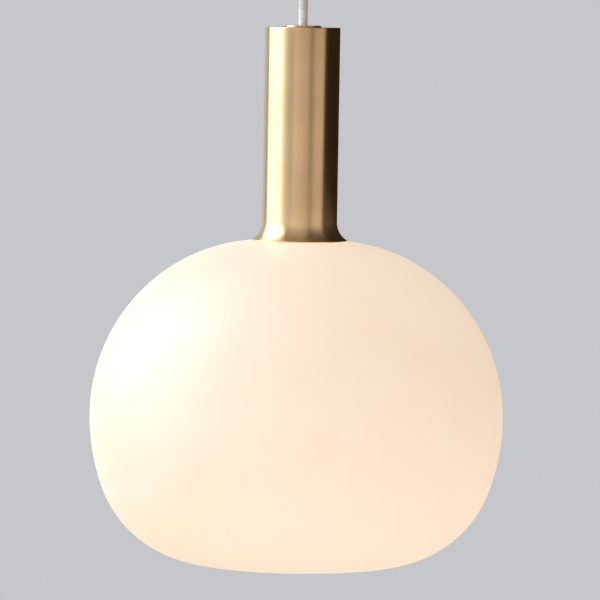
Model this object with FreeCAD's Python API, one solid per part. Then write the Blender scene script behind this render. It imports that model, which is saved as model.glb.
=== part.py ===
import FreeCAD, Part
import math
import os

# Pendant ceiling light: a brass cup on a textile cord over an open-bottomed opal glass globe.
# Millimetres. The origin is the centre of the ceiling plane, +Z is up, and the lamp hangs below it.

# ---- driving dimensions ----
CORD_R = 2.8                # textile-covered three-core flex
CORD_BORE_R = 3.1           # clearance hole for the flex
CORE_R = 1.0                # one insulated core of the flex

CUP_TOP_Z = -70.0           # flat top of the brass cup
CUP_R = 23.5
CUP_HEIGHT = 133.8
SHEET = 1.0                 # thickness of the spun brass
FLARE_R = 13.0              # hollow radius of the flared mouth
MOUTH_R = 30.0
LIP_HEIGHT = 0.5            # upright edge of the mouth
DISC_R = 11.35              # visible disc on the cup's top
DISC_PROUD = 1.1

GLOBE_R = 130.0
GLOBE_DROP = 244.57         # from the cup's top to the globe's widest level
GLASS = 3.0
UPPER_ARCS = ((112.0, 0.0, 52.5), (106.0, 52.5, 85.0))     # radius, first and last normal angle
LOWER_ARCS = ((132.5, 0.0, 20.5), (71.5, 20.5, 84.0))
CROWN_R = 333.0             # shallow sphere round the top hole
BASE_R = 476.0              # shallow sphere round the bottom opening
TOP_HOLE_R = 21.0
SEAT_R = 26.5               # flat ground ring that the upper gasket presses on
OPENING_R = 52.0

CANOPY_R = 50.0
CANOPY_H = 26.0
CANOPY_EDGE_R = 4.0
CANOPY_GAP = 0.3            # between the canopy's rim and the ceiling
COLLAR_R = 9.0
COLLAR_H = 14.0

COLLAR_CHAMFER = 1.0
COLLAR_FLOOR = 2.0          # solid bottom of the collar, below its thread

BRACKET_HALF = 44.0
BRACKET_W = 20.0
BRACKET_T = 2.0
WEB_DROP = 12.0             # ceiling to the web's upper face
WEB_HALF = 16.0
FOOT_INNER = 22.0
BEND_SHIFT = 1.0            # inner face of a bend against its outer face
TAB_HALF = 6.0              # bent tab that carries the terminal block
TAB_BACK_Y = -19.0
TAB_FRONT_Y = -21.0
TAB_BOTTOM_Z = -24.0
SLOT_SPACING = 60.0
SLOT_LENGTH = 12.0
SLOT_R = 2.6

EARTH_SCREW_X = 13.0
EARTH_SCREW = (2.9, 2.4, 1.65, 5.0)       # head radius, head height, shank radius, shank length
EARTH_HOLE_R = 1.7
BLOCK_SCREW = (2.4, 1.6, 1.5, 16.0)
BLOCK_SCREW_X = 4.5
BLOCK_SCREW_Z = -16.5
BLOCK_HOLE_R = 1.6

BLOCK_HALF = 14.0           # terminal block
BLOCK_FRONT_Y = -33.0
BLOCK_BACK_Y = TAB_FRONT_Y
BLOCK_LOW_Z = -24.0
BLOCK_HIGH_Z = -8.0
BLOCK_NOTCH_HALF = 0.6      # notch between two ways
BLOCK_NOTCH_Y = -31.2
WAY_X = {"live": 9.0, "earth": 0.0, "neutral": -9.0}
WAY_Y = -28.5
WAY_SCREW_LEVELS = (-12.5, -20.5)
WAY_SCREW = (1.8, 1.4, 1.25, 1.6)
WAY_SCREW_Y = -31.1
WAY_SCREW_WELL_R = 1.9
INSERT_R = 2.4
INSERT_BORE_R = 1.5
INSERT_SCREW_R = 1.3
INSERT_INSET = 1.0
WIRE_RUN_Z = -3.2           # the cores run level just under the ceiling
WIRE_END_Z = -13.0
WIRE_BENDS = (2.4, 3.5)

PIPE_R = 5.0                # M10 x 1 hollow thread, outside
PIPE_BORE_R = 3.6
PIPE_HOLE_R = 5.1           # clearance hole for it
NUT_FLATS = 14.0
NUT_H = 3.0
THREAD_GAP = 0.05           # radial clearance of a plain stand-in thread
WASHER_T = 1.0              # toothed washers
NIPPLE_WASHER_R = 8.5
CUP_WASHER_R = 10.5
NOTCH_DEPTH = 1.4
NOTCH_HALF = 0.6
GRIP_SCREW_R = 1.5
GRIP_SCREW_L = 3.6
GRIP_SCREW_SLOT = (8.0, 0.3)              # inner end and half width
GRIP_HOLE_R = 1.55

STEM_R = 6.5                # threaded stem of the disc, through the cup's top
STEM_HOLE_R = 6.6
STEM_NUT_FLATS = 19.0
STEM_NUT_H = 4.0
SOFT_EDGE = 0.6             # rounding of the cup's top edge
FLARE_END = 60.0            # angle at which the flare meets its lip
DISC_EDGE = 0.3

PIVOT_DROP = 2.85           # the flex bends this far below the collar

HOLDER_CAP_R = 19.5
HOLDER_BORE_R = 17.5
HOLDER_BOSS_R = 8.5
HOLDER_BOSS_H = 4.0
HOLDER_ROOF = 3.0
HOLDER_CHAMFER = 2.0
PORCELAIN_R = 15.0          # contact block
POST_X = 9.0                # brass terminal posts on it
POST_HALF = (2.8, 3.0)
POST_H = 7.0
POST_BORE_R = 1.75
POST_ENTRY_R = 1.15
POST_ENTRY_Z = -172.5
STRIP_HALF = (0.4, 2.5)
STRIP_SLOT_HALF = (0.5, 2.6)
POST_SCREW = (2.6, 1.8, 1.7, 5.5)
LEAF_HALF = 3.0             # centre contact's spring leaf
LEAF_T = 0.5
LEAF_RISE_X = (8.6, 9.4)
EARTH_POST = (2.5, 9.2, 14.2)             # half width, inner side, outer side
EARTH_POST_LOW_Z = -165.0
EARTH_POST_BORE_R = 1.45
EARTH_POST_SCREW = (2.3, 1.6, 1.4, 4.5)
EARTH_ENTRY_Z = -162.5
LEAD_BENDS = (3.0,)
EARTH_LEAD_BENDS = (2.2,)
LEAD_END_X = 6.2
RIVET_Y = 11.5
RIVET_R = 1.25
RIVET_HOLE_R = 1.3
RIVET_HEAD_R = 1.7
RIVET_HEAD_H = 0.65
RIVET_TOP_Z = -181.0
SKIRT_R = 20.0              # M40 x 2.5 outside thread
SKIRT_NECK = (15.2, 17.3, 8.0)            # bore radius, outside radius, length above the cap's bottom
SKIRT_BORE_R = 16.4
SKIRT_STEP = (-190.0, -192.0)
SKIRT_BOTTOM_Z = -226.0
FLANGE_R = 24.4
UPPER_GASKET = (25.3, 20.3, -203.7)       # outside and inside radius, underside
LOWER_GASKET = (27.0, 20.6, -208.55, -207.05)
SHELL_R = 13.25             # inside of the E27 shell's thread
SHELL_WALL = 0.45
SHELL_FLANGE_BORE_R = 10.0
SHELL_BOTTOM_Z = -214.0
SHELL_SLOT = (6.0, 10.6, 3.2)             # inner end, outer end and half width

RING_TOP_Z = -208.65        # shade ring
RING_BOTTOM_Z = -215.65
RING_FLANGE_R = 28.5
RING_FLANGE_T = 2.0
RING_HUB_R = 24.5
RING_EDGE = 0.5
RING_FILLET = 0.55
RING_NOTCHES = 16
RING_NOTCH_R = 1.2

BULB_CAP_R = 13.2
BULB_CAP_WALL = 0.4
BULB_CAP_NECK_R = 9.6
BULB_CAP_LENGTH = 26.0      # contact to the cap's rim
BULB_SHOULDER = (4.6, 6.2, 7.4)           # contact to neck, slope and full radius
BULB_TIP = ((0.0, 0.0), (2.6, 0.0), (4.4, 1.0), (4.6, 2.0), (0.0, 2.0))   # radius, depth
BULB_PLUG_DEPTH = 8.0
BULB_GLASS_R = 5.2
FIT_GAP = 0.05              # between two pieces that are assembled face to face
BULB_R = 30.0
BULB_LENGTH = 110.0
HOUSING_OUTSIDE = ((15.2, -226.0), (18.5, -232.0), (24.0, -241.0), (27.6, -250.0))
HOUSING_INSIDE = ((25.6, -250.0), (22.0, -241.0), (16.6, -232.0), (13.2, -226.0))
HOUSING_PLUG = (10.5, 12.7)               # inside and outside radius in the cap
HOUSING_RIM = (11.0, 13.8)                # inside and outside radius below the cap
HOUSING_LOW_Z = -250.0
LED_PLATE = (24.9, 2.0, 1.6)              # outside radius, bore and thickness
LED_HALF = (1.5, 1.4)
LED_H = 0.8
LED_CIRCLE_R = 16.0
LED_COUNT = 10
DOME_WALL = 1.0
DOME_FLANK = (29.4, 28.4, -260.0)         # outside and inside radius at that level

CORES = {"live": (1.5, 0.4), "neutral": (-1.5, 0.4), "earth": (0.0, -1.6)}

# ---- levels worked out from them ----
CUP_MOUTH_Z = CUP_TOP_Z - CUP_HEIGHT
EQUATOR_Z = CUP_TOP_Z - GLOBE_DROP
CANOPY_BOTTOM_Z = -CANOPY_H
NIPPLE_TOP_Z = BLOCK_HIGH_Z
NIPPLE_BOTTOM_Z = -33.0
COLLAR_SCREW_Z = -35.5
COLLAR_BOTTOM_Z = CANOPY_BOTTOM_Z - COLLAR_H
PIVOT_Z = COLLAR_BOTTOM_Z - PIVOT_DROP
WEB_TOP_Z = -WEB_DROP
WEB_BOTTOM_Z = WEB_TOP_Z - BRACKET_T
STEM_BOTTOM_Z = CUP_TOP_Z - 14.0
GRIP_TOP_Z = CUP_TOP_Z - 3.0
ROD_TOP_Z = GRIP_TOP_Z - 5.0
HOLDER_TOP_Z = -152.0
CAP_BOTTOM_Z = -176.0
ROD_BOTTOM_Z = -156.0
FLEX_END_Z = -160.0
FLEX_TOP_Z = -6.0
BLOCK_BOTTOM_Z = -188.0
FLANGE_TOP_Z = -200.4
FLANGE_BOTTOM_Z = -202.0
CONTACT_Z = -190.6          # where the bulb's tip meets the centre contact


def vec(x, y, z):
    return FreeCAD.Vector(x, y, z)


def revolved(points):
    """Solid of revolution about Z from a closed outline of (radius, z) points."""
    corners = [vec(r, 0, z) for r, z in points]
    face = Part.Face(Part.makePolygon(corners + corners[:1]))
    return face.revolve(vec(0, 0, 0), vec(0, 0, 1), 360)


def revolved_edges(edges):
    """Solid of revolution about Z from joined edges in the XZ plane."""
    face = Part.Face(Part.Wire(edges))
    return face.revolve(vec(0, 0, 0), vec(0, 0, 1), 360)


def rod(radius, low, high, x=0.0, y=0.0):
    return Part.makeCylinder(radius, high - low, vec(x, y, low))


def ring(outer, inner, low, high):
    return rod(outer, low, high).cut(rod(inner, low - 1, high + 1))


def box(low, high):
    size = [b - a for a, b in zip(low, high)]
    return Part.makeBox(*size, vec(*low))


def hex_nut(flats, bore, low, high):
    """Hexagon nut with turned corners on both faces."""
    corner = flats / math.sqrt(3)
    corners = [
        vec(corner * math.cos(math.radians(60 * k)), corner * math.sin(math.radians(60 * k)), low)
        for k in range(7)
    ]
    prism = Part.Face(Part.makePolygon(corners)).extrude(vec(0, 0, high - low))
    edge = corner - flats / 2
    turned = revolved([
        (0, low), (flats / 2, low), (corner, low + edge / 2),
        (corner, high - edge / 2), (flats / 2, high), (0, high),
    ])
    return prism.common(turned).cut(rod(bore, low - 1, high + 1))


def toothed_washer(outer, bore, low, high, teeth=14):
    body = ring(outer, bore, low, high)
    notch = box((outer - NOTCH_DEPTH, -NOTCH_HALF, low - 1), (outer + 1, NOTCH_HALF, high + 1))
    for k in range(teeth):
        cutter = notch.copy()
        cutter.rotate(vec(0, 0, 0), vec(0, 0, 1), 360.0 * k / teeth)
        body = body.cut(cutter)
    return body


def slotted_screw(head_r, head_h, shank_r, length):
    """Screw standing on z = 0 with its shank going down and a slot across its head."""
    body = rod(head_r, 0, head_h).fuse(rod(shank_r, -length, 0)).removeSplitter()
    slot = box((-head_r - 1, -0.4, head_h * 0.45), (head_r + 1, 0.4, head_h + 1))
    return body.cut(slot)


def placed(shape, x, y, z, axis=None, angle=0.0):
    """Copy of a shape turned about an axis through the origin, then moved."""
    out = shape.copy()
    if axis is not None:
        out.rotate(vec(0, 0, 0), axis, angle)
    out.translate(vec(x, y, z))
    return out


def routed(points, radius, bends):
    """Round wire along straight runs joined by tangent arcs of the given bend radii."""
    nodes = [vec(*p) for p in points]
    edges = []
    start = nodes[0]
    for before, corner, after, bend in zip(nodes, nodes[1:], nodes[2:], bends):
        back = (before - corner).normalize()
        ahead = (after - corner).normalize()
        half = (math.pi - back.getAngle(ahead)) / 2
        reach = bend * math.tan(half)
        enter = corner + back * reach
        leave = corner + ahead * reach
        middle_way = (back + ahead).normalize()
        middle = corner + middle_way * (bend / math.cos(half) - bend)
        edges.append(Part.LineSegment(start, enter).toShape())
        edges.append(Part.Arc(enter, middle, leave).toShape())
        start = leave
    edges.append(Part.LineSegment(start, nodes[-1]).toShape())
    path = Part.Wire(edges)
    way = (nodes[1] - nodes[0]).normalize()
    section = Part.Wire([Part.makeCircle(radius, nodes[0], way)])
    return path.makePipeShell([section], True, True)


# ---- ceiling group ----
def ceiling_bracket():
    half_w = BRACKET_W / 2
    outline = [
        (-BRACKET_HALF, 0), (-FOOT_INNER, 0), (-WEB_HALF, WEB_TOP_Z), (WEB_HALF, WEB_TOP_Z),
        (FOOT_INNER, 0), (BRACKET_HALF, 0), (BRACKET_HALF, -BRACKET_T),
        (FOOT_INNER + BEND_SHIFT, -BRACKET_T), (WEB_HALF + BEND_SHIFT, WEB_BOTTOM_Z),
        (-WEB_HALF - BEND_SHIFT, WEB_BOTTOM_Z), (-FOOT_INNER - BEND_SHIFT, -BRACKET_T),
        (-BRACKET_HALF, -BRACKET_T),
    ]
    corners = [vec(x, -half_w, z) for x, z in outline]
    strip = Part.Face(Part.makePolygon(corners + corners[:1])).extrude(vec(0, BRACKET_W, 0))
    tab = box((-TAB_HALF, TAB_FRONT_Y, WEB_BOTTOM_Z), (TAB_HALF, -half_w, WEB_TOP_Z))
    tab = tab.fuse(box((-TAB_HALF, TAB_FRONT_Y, TAB_BOTTOM_Z), (TAB_HALF, TAB_BACK_Y, WEB_BOTTOM_Z)))
    strip = strip.fuse(tab).removeSplitter()
    straight = SLOT_LENGTH / 2 - SLOT_R
    for side in (-1, 1):
        middle = side * SLOT_SPACING / 2
        below = -2 * BRACKET_T
        slot = box((middle - straight, -SLOT_R, below), (middle + straight, SLOT_R, 1))
        for end in (-1, 1):
            slot = slot.fuse(rod(SLOT_R, below, 1, middle + end * straight))
        strip = strip.cut(slot)
    strip = strip.cut(rod(PIPE_HOLE_R, WEB_BOTTOM_Z - 1, WEB_TOP_Z + 1))
    strip = strip.cut(rod(EARTH_HOLE_R, WEB_BOTTOM_Z - 1, WEB_TOP_Z + 1, EARTH_SCREW_X))
    start = vec(BLOCK_SCREW_X, TAB_FRONT_Y - 1, BLOCK_SCREW_Z)
    return strip.cut(Part.makeCylinder(BLOCK_HOLE_R, 2 * BRACKET_T, start, vec(0, 1, 0)))


def canopy_nipple():
    return ring(PIPE_R, PIPE_BORE_R, NIPPLE_BOTTOM_Z, NIPPLE_TOP_Z)


def nipple_nuts():
    upper = hex_nut(NUT_FLATS, PIPE_R + THREAD_GAP, WEB_TOP_Z, WEB_TOP_Z + NUT_H)
    high = WEB_BOTTOM_Z - WASHER_T
    lower = hex_nut(NUT_FLATS, PIPE_R + THREAD_GAP, high - NUT_H, high)
    return Part.makeCompound([upper, lower])


def nipple_toothed_washer():
    return toothed_washer(NIPPLE_WASHER_R, PIPE_HOLE_R, WEB_BOTTOM_Z - WASHER_T, WEB_BOTTOM_Z)


def canopy_cup():
    low = CANOPY_BOTTOM_Z
    outer = rod(CANOPY_R, low, -CANOPY_GAP)
    outer = outer.makeFillet(CANOPY_EDGE_R, [outer.Edges[2]])
    inner = rod(CANOPY_R - SHEET, low + SHEET, 1)
    inner = inner.makeFillet(CANOPY_EDGE_R - SHEET, [inner.Edges[2]])
    return outer.cut(inner).cut(rod(PIPE_HOLE_R + 0.1, low - 1, low + 2 * SHEET))


def canopy_collar():
    body = revolved([
        (0, COLLAR_BOTTOM_Z), (COLLAR_R - COLLAR_CHAMFER, COLLAR_BOTTOM_Z),
        (COLLAR_R, COLLAR_BOTTOM_Z + COLLAR_CHAMFER),
        (COLLAR_R, CANOPY_BOTTOM_Z), (0, CANOPY_BOTTOM_Z),
    ])
    floor = COLLAR_BOTTOM_Z + COLLAR_FLOOR
    body = body.cut(rod(PIPE_R + THREAD_GAP, floor, CANOPY_BOTTOM_Z + 1))
    body = body.cut(rod(CORD_BORE_R, COLLAR_BOTTOM_Z - 1, floor + 1))
    return body.cut(Part.makeCylinder(GRIP_HOLE_R, 2 * COLLAR_R, vec(0, 0, COLLAR_SCREW_Z), vec(1, 0, 0)))


def canopy_grip_ring():
    return ring(PIPE_R, CORD_R + THREAD_GAP, COLLAR_BOTTOM_Z + COLLAR_FLOOR, NIPPLE_BOTTOM_Z)


def canopy_grip_screw():
    start = vec(PIPE_HOLE_R, 0, COLLAR_SCREW_Z)
    screw = Part.makeCylinder(GRIP_SCREW_R, GRIP_SCREW_L, start, vec(1, 0, 0))
    inner, half = GRIP_SCREW_SLOT
    slot = box((inner, -half, COLLAR_SCREW_Z - 2), (COLLAR_R + 1, half, COLLAR_SCREW_Z + 2))
    return screw.cut(slot)


def well(radius, depth, x, y, z):
    """Cylinder that starts at a point and runs forward, away from the canopy's axis."""
    return Part.makeCylinder(radius, depth, vec(x, y, z), vec(0, -1, 0))


def terminal_block():
    body = box((-BLOCK_HALF, BLOCK_FRONT_Y, BLOCK_LOW_Z), (BLOCK_HALF, BLOCK_BACK_Y, BLOCK_HIGH_Z))
    for x in WAY_X.values():
        body = body.cut(rod(INSERT_R + THREAD_GAP, BLOCK_LOW_Z - 1, BLOCK_HIGH_Z + 1, x, WAY_Y))
        for z in WAY_SCREW_LEVELS:
            body = body.cut(well(WAY_SCREW_WELL_R, BLOCK_HALF, x, WAY_Y, z))
    for x in (-WAY_X["live"] / 2, WAY_X["live"] / 2):
        body = body.cut(box(
            (x - BLOCK_NOTCH_HALF, BLOCK_FRONT_Y - 1, BLOCK_LOW_Z - 1),
            (x + BLOCK_NOTCH_HALF, BLOCK_NOTCH_Y, BLOCK_HIGH_Z + 1),
        ))
    return body.cut(well(BLOCK_HOLE_R, 2 * BLOCK_HALF, BLOCK_SCREW_X, BLOCK_BACK_Y + 1, BLOCK_SCREW_Z))


def block_inserts():
    tubes = []
    low = BLOCK_LOW_Z + INSERT_INSET
    high = BLOCK_HIGH_Z - INSERT_INSET
    for x in WAY_X.values():
        tube = rod(INSERT_R, low, high, x, WAY_Y).cut(rod(INSERT_BORE_R, low - 1, high + 1, x, WAY_Y))
        for z in WAY_SCREW_LEVELS:
            tube = tube.cut(well(INSERT_SCREW_R, 2 * INSERT_R, x, WAY_Y, z))
        tubes.append(tube)
    return Part.makeCompound(tubes)


def block_terminal_screws():
    screw = slotted_screw(*WAY_SCREW)
    return Part.makeCompound([
        placed(screw, x, WAY_SCREW_Y, z, vec(1, 0, 0), 90)
        for x in WAY_X.values() for z in WAY_SCREW_LEVELS
    ])


def block_fixing_screw():
    screw = slotted_screw(*BLOCK_SCREW)
    return placed(screw, BLOCK_SCREW_X, BLOCK_FRONT_Y, BLOCK_SCREW_Z, vec(1, 0, 0), 90)


def bracket_earth_screw():
    return placed(slotted_screw(*EARTH_SCREW), EARTH_SCREW_X, 0, WEB_TOP_Z)


def canopy_wire(core):
    x, y = CORES[core]
    way = WAY_X[core]
    route = [(x, y, FLEX_TOP_Z), (x, y, WIRE_RUN_Z), (way, WAY_Y, WIRE_RUN_Z), (way, WAY_Y, WIRE_END_Z)]
    return routed(route, CORE_R, WIRE_BENDS)


def cord_in_canopy():
    return rod(CORD_R, COLLAR_BOTTOM_Z, FLEX_TOP_Z)


def cord_flex():
    return Part.makeSphere(CORD_R, vec(0, 0, PIVOT_Z))


# ---- hanging group ----
def cord_drop():
    return rod(CORD_R, FLEX_END_Z, PIVOT_Z - PIVOT_DROP)


def top_disc():
    head = CUP_TOP_Z + DISC_PROUD
    body = revolved([
        (0, head), (DISC_R - DISC_EDGE, head), (DISC_R, head - DISC_EDGE), (DISC_R, CUP_TOP_Z),
        (STEM_R, CUP_TOP_Z), (STEM_R, STEM_BOTTOM_Z), (0, STEM_BOTTOM_Z),
    ])
    body = body.cut(rod(CORD_BORE_R, GRIP_TOP_Z - 1, head + 1))
    return body.cut(rod(PIPE_R + THREAD_GAP, STEM_BOTTOM_Z - 1, GRIP_TOP_Z))


def cup_shell():
    """Straight tube with a closed top and a flared mouth, spun from one sheet."""
    flare_z = CUP_MOUTH_Z + LIP_HEIGHT + FLARE_R * math.sin(math.radians(FLARE_END))
    centre_r = CUP_R + FLARE_R
    inner_arc = FLARE_R + SHEET
    inner_end = math.asin((flare_z - CUP_MOUTH_Z) / inner_arc)

    def flare_point(radius, angle):
        return vec(centre_r - radius * math.cos(angle), 0, flare_z - radius * math.sin(angle))

    outer_end = math.radians(FLARE_END)
    soft = SOFT_EDGE
    ease = soft * (1 - math.sqrt(0.5))
    top = CUP_TOP_Z
    outer_arc = Part.Arc(
        flare_point(FLARE_R, 0), flare_point(FLARE_R, outer_end / 2), flare_point(FLARE_R, outer_end)
    ).toShape()
    under_arc = Part.Arc(
        flare_point(inner_arc, inner_end), flare_point(inner_arc, inner_end / 2),
        flare_point(inner_arc, 0)
    ).toShape()
    top_edge = Part.Arc(
        vec(CUP_R - soft, 0, top), vec(CUP_R - ease, 0, top - ease), vec(CUP_R, 0, top - soft)
    ).toShape()
    lip_outer = flare_point(FLARE_R, outer_end)
    lip_inner = flare_point(inner_arc, inner_end)
    corners = [
        (vec(STEM_HOLE_R, 0, top), vec(CUP_R - soft, 0, top)),
        (vec(CUP_R, 0, top - soft), flare_point(FLARE_R, 0)),
        (lip_outer, vec(lip_outer.x, 0, CUP_MOUTH_Z)),
        (vec(lip_outer.x, 0, CUP_MOUTH_Z), lip_inner),
        (flare_point(inner_arc, 0), vec(CUP_R - SHEET, 0, top - SHEET)),
        (vec(CUP_R - SHEET, 0, top - SHEET), vec(STEM_HOLE_R, 0, top - SHEET)),
        (vec(STEM_HOLE_R, 0, top - SHEET), vec(STEM_HOLE_R, 0, top)),
    ]
    lines = [Part.LineSegment(a, b).toShape() for a, b in corners]
    order = [lines[0], top_edge, lines[1], outer_arc, lines[2], lines[3], under_arc] + lines[4:]
    return revolved_edges(order)


def top_toothed_washer():
    high = CUP_TOP_Z - SHEET
    return toothed_washer(CUP_WASHER_R, STEM_HOLE_R + THREAD_GAP, high - WASHER_T, high, 16)


def top_lock_nut():
    high = CUP_TOP_Z - SHEET - WASHER_T
    return hex_nut(STEM_NUT_FLATS, STEM_R + THREAD_GAP, high - STEM_NUT_H, high)


def top_cord_grip():
    return ring(PIPE_R, CORD_R + THREAD_GAP, ROD_TOP_Z, GRIP_TOP_Z)


def hollow_rod():
    return ring(PIPE_R, PIPE_BORE_R, ROD_BOTTOM_Z, ROD_TOP_Z)


def rod_nuts():
    upper = hex_nut(NUT_FLATS, PIPE_R + THREAD_GAP, STEM_BOTTOM_Z - NUT_H, STEM_BOTTOM_Z)
    low = HOLDER_TOP_Z + HOLDER_BOSS_H
    lower = hex_nut(NUT_FLATS, PIPE_R + THREAD_GAP, low, low + NUT_H)
    return Part.makeCompound([upper, lower])


def holder_cap():
    top = HOLDER_TOP_Z
    boss = top + HOLDER_BOSS_H
    body = revolved([
        (0, boss), (HOLDER_BOSS_R - 0.5, boss), (HOLDER_BOSS_R, boss - 0.5), (HOLDER_BOSS_R, top),
        (HOLDER_CAP_R - HOLDER_CHAMFER, top), (HOLDER_CAP_R, top - HOLDER_CHAMFER),
        (HOLDER_CAP_R, CAP_BOTTOM_Z), (0, CAP_BOTTOM_Z),
    ])
    body = body.cut(rod(HOLDER_BORE_R, CAP_BOTTOM_Z - 1, top - HOLDER_ROOF))
    return body.cut(rod(PIPE_R + THREAD_GAP, top - HOLDER_ROOF - 1, boss + 1))


def contact_block():
    body = rod(PORCELAIN_R, BLOCK_BOTTOM_Z, CAP_BOTTOM_Z)
    half_x, half_y = STRIP_SLOT_HALF
    for side in (-1, 1):
        x = side * POST_X
        body = body.cut(box((x - half_x, -half_y, BLOCK_BOTTOM_Z - 1), (x + half_x, half_y, CAP_BOTTOM_Z + 1)))
        body = body.cut(rod(RIVET_HOLE_R, BLOCK_BOTTOM_Z - 1, RIVET_TOP_Z + 1, 0, side * RIVET_Y))
    return body


def contact_post(side):
    """Brass terminal post on top of the block, with its strip going down through the block."""
    x = side * POST_X
    half_x, half_y = POST_HALF
    post = box((x - half_x, -half_y, CAP_BOTTOM_Z), (x + half_x, half_y, CAP_BOTTOM_Z + POST_H))
    post = post.cut(rod(POST_BORE_R, CAP_BOTTOM_Z + 1, CAP_BOTTOM_Z + POST_H + 1, x))
    thin, wide = STRIP_HALF
    strip = box((x - thin, -wide, BLOCK_BOTTOM_Z), (x + thin, wide, CAP_BOTTOM_Z))
    entry = vec(x - side * half_x, -CORES["live"][1], POST_ENTRY_Z)
    hole = Part.makeCylinder(POST_ENTRY_R, 2.0, entry, vec(side, 0, 0))
    return post.fuse(strip).cut(hole)


def centre_contact():
    half = STRIP_HALF[1]
    low = CONTACT_Z + 0.1
    high = low + LEAF_T
    leaf = box((-LEAF_HALF, -half, low), (LEAF_HALF, half, high))
    near, far = LEAF_RISE_X
    step = BLOCK_BOTTOM_Z - LEAF_T
    ramp_points = [(LEAF_HALF, low), (near, step), (far, step), (far, BLOCK_BOTTOM_Z),
                   (near, BLOCK_BOTTOM_Z), (LEAF_HALF, high)]
    corners = [vec(x, -half, z) for x, z in ramp_points]
    ramp = Part.Face(Part.makePolygon(corners + corners[:1])).extrude(vec(0, 2 * half, 0))
    return contact_post(1).fuse(leaf).fuse(ramp).removeSplitter()


def side_contact():
    return contact_post(-1).removeSplitter()


def terminal_screws():
    screw = slotted_screw(*POST_SCREW)
    return Part.makeCompound([placed(screw, side * POST_X, 0, CAP_BOTTOM_Z + POST_H) for side in (-1, 1)])


def holder_earth_post():
    half, inner, outer = EARTH_POST
    low = EARTH_POST_LOW_Z
    post = box((-half, inner, low), (half, outer, HOLDER_TOP_Z - HOLDER_ROOF))
    entry = vec(0, inner, EARTH_ENTRY_Z)
    post = post.cut(Part.makeCylinder(POST_ENTRY_R, 2.0, entry, vec(0, 1, 0)))
    return post.cut(rod(EARTH_POST_BORE_R, low - 1, low + 5, 0, outer - 2))


def holder_earth_screw():
    y = EARTH_POST[2] - 2
    return placed(slotted_screw(*EARTH_POST_SCREW), 0, y, EARTH_POST_LOW_Z, vec(1, 0, 0), 180)


def thread_shell():
    """E27 shell: a plain brass cylinder with a flange that is riveted under the block."""
    outer = SHELL_R + SHELL_WALL
    under = BLOCK_BOTTOM_Z - SHELL_WALL
    body = revolved([
        (SHELL_FLANGE_BORE_R, BLOCK_BOTTOM_Z), (outer, BLOCK_BOTTOM_Z), (outer, SHELL_BOTTOM_Z),
        (SHELL_R, SHELL_BOTTOM_Z), (SHELL_R, under), (SHELL_FLANGE_BORE_R, under),
    ])
    near, far, half = SHELL_SLOT
    body = body.cut(box((near, -half, under - 1), (far, half, BLOCK_BOTTOM_Z + 1)))
    for side in (-1, 1):
        body = body.cut(rod(RIVET_HOLE_R, under - 1, BLOCK_BOTTOM_Z + 1, 0, side * RIVET_Y))
    return body


def shell_rivets():
    under = BLOCK_BOTTOM_Z - SHELL_WALL
    rivet = rod(RIVET_R, under, RIVET_TOP_Z).fuse(rod(RIVET_HEAD_R, under - RIVET_HEAD_H, under))
    rivet = rivet.removeSplitter()
    return Part.makeCompound([placed(rivet, 0, side * RIVET_Y, 0) for side in (-1, 1)])


def holder_skirt():
    """Insulating skirt with the outside thread for the shade ring and the flange above it."""
    bore, neck, length = SKIRT_NECK
    top = CAP_BOTTOM_Z + length
    step_top, step_bottom = SKIRT_STEP
    return revolved([
        (bore, top), (neck, top), (neck, CAP_BOTTOM_Z), (SKIRT_R, CAP_BOTTOM_Z),
        (SKIRT_R, FLANGE_TOP_Z), (FLANGE_R, FLANGE_TOP_Z), (FLANGE_R, FLANGE_BOTTOM_Z),
        (SKIRT_R, FLANGE_BOTTOM_Z), (SKIRT_R, SKIRT_BOTTOM_Z), (SKIRT_BORE_R, SKIRT_BOTTOM_Z),
        (SKIRT_BORE_R, step_bottom), (bore, step_top),
    ])


def holder_lead(core):
    x, y = CORES[core]
    if core == "earth":
        route = [(x, -y, FLEX_END_Z), (x, -y, EARTH_ENTRY_Z), (x, EARTH_POST[1], EARTH_ENTRY_Z)]
        return routed(route, CORE_R, EARTH_LEAD_BENDS)
    side = math.copysign(1, x)
    route = [(x, -y, FLEX_END_Z), (x, -y, POST_ENTRY_Z), (side * LEAD_END_X, -y, POST_ENTRY_Z)]
    return routed(route, CORE_R, LEAD_BENDS)


def upper_gasket():
    outer, inner, low = UPPER_GASKET
    return ring(outer, inner, low, FLANGE_BOTTOM_Z)


# ---- glass globe ----
def globe_wall(arcs, way, inset):
    """Edges of one half's wall, from the widest level, and the last point reached."""
    r = GLOBE_R - inset
    z = EQUATOR_Z
    edges = []
    for radius, first, last in arcs:
        reach = radius - inset

        def along(angle, r=r, z=z, reach=reach, first=first):
            turn = math.radians(angle)
            begin = math.radians(first)
            return vec(r - reach * (math.cos(begin) - math.cos(turn)), 0,
                       z + way * reach * (math.sin(turn) - math.sin(begin)))

        end = along(last)
        edges.append(Part.Arc(vec(r, 0, z), along((first + last) / 2), end).toShape())
        r, z = end.x, end.z
    return edges, end


def shallow_arc(start, end_r, radius, way):
    """Arc on a shallow sphere centred on the axis, from a point inwards to a smaller radius."""
    def level(r):
        rise = math.sqrt(radius ** 2 - r ** 2) - math.sqrt(radius ** 2 - start.x ** 2)
        return start.z + way * rise

    middle_r = (start.x + end_r) / 2
    end = vec(end_r, 0, level(end_r))
    return Part.Arc(start, vec(middle_r, 0, level(middle_r)), end).toShape(), end


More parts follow.
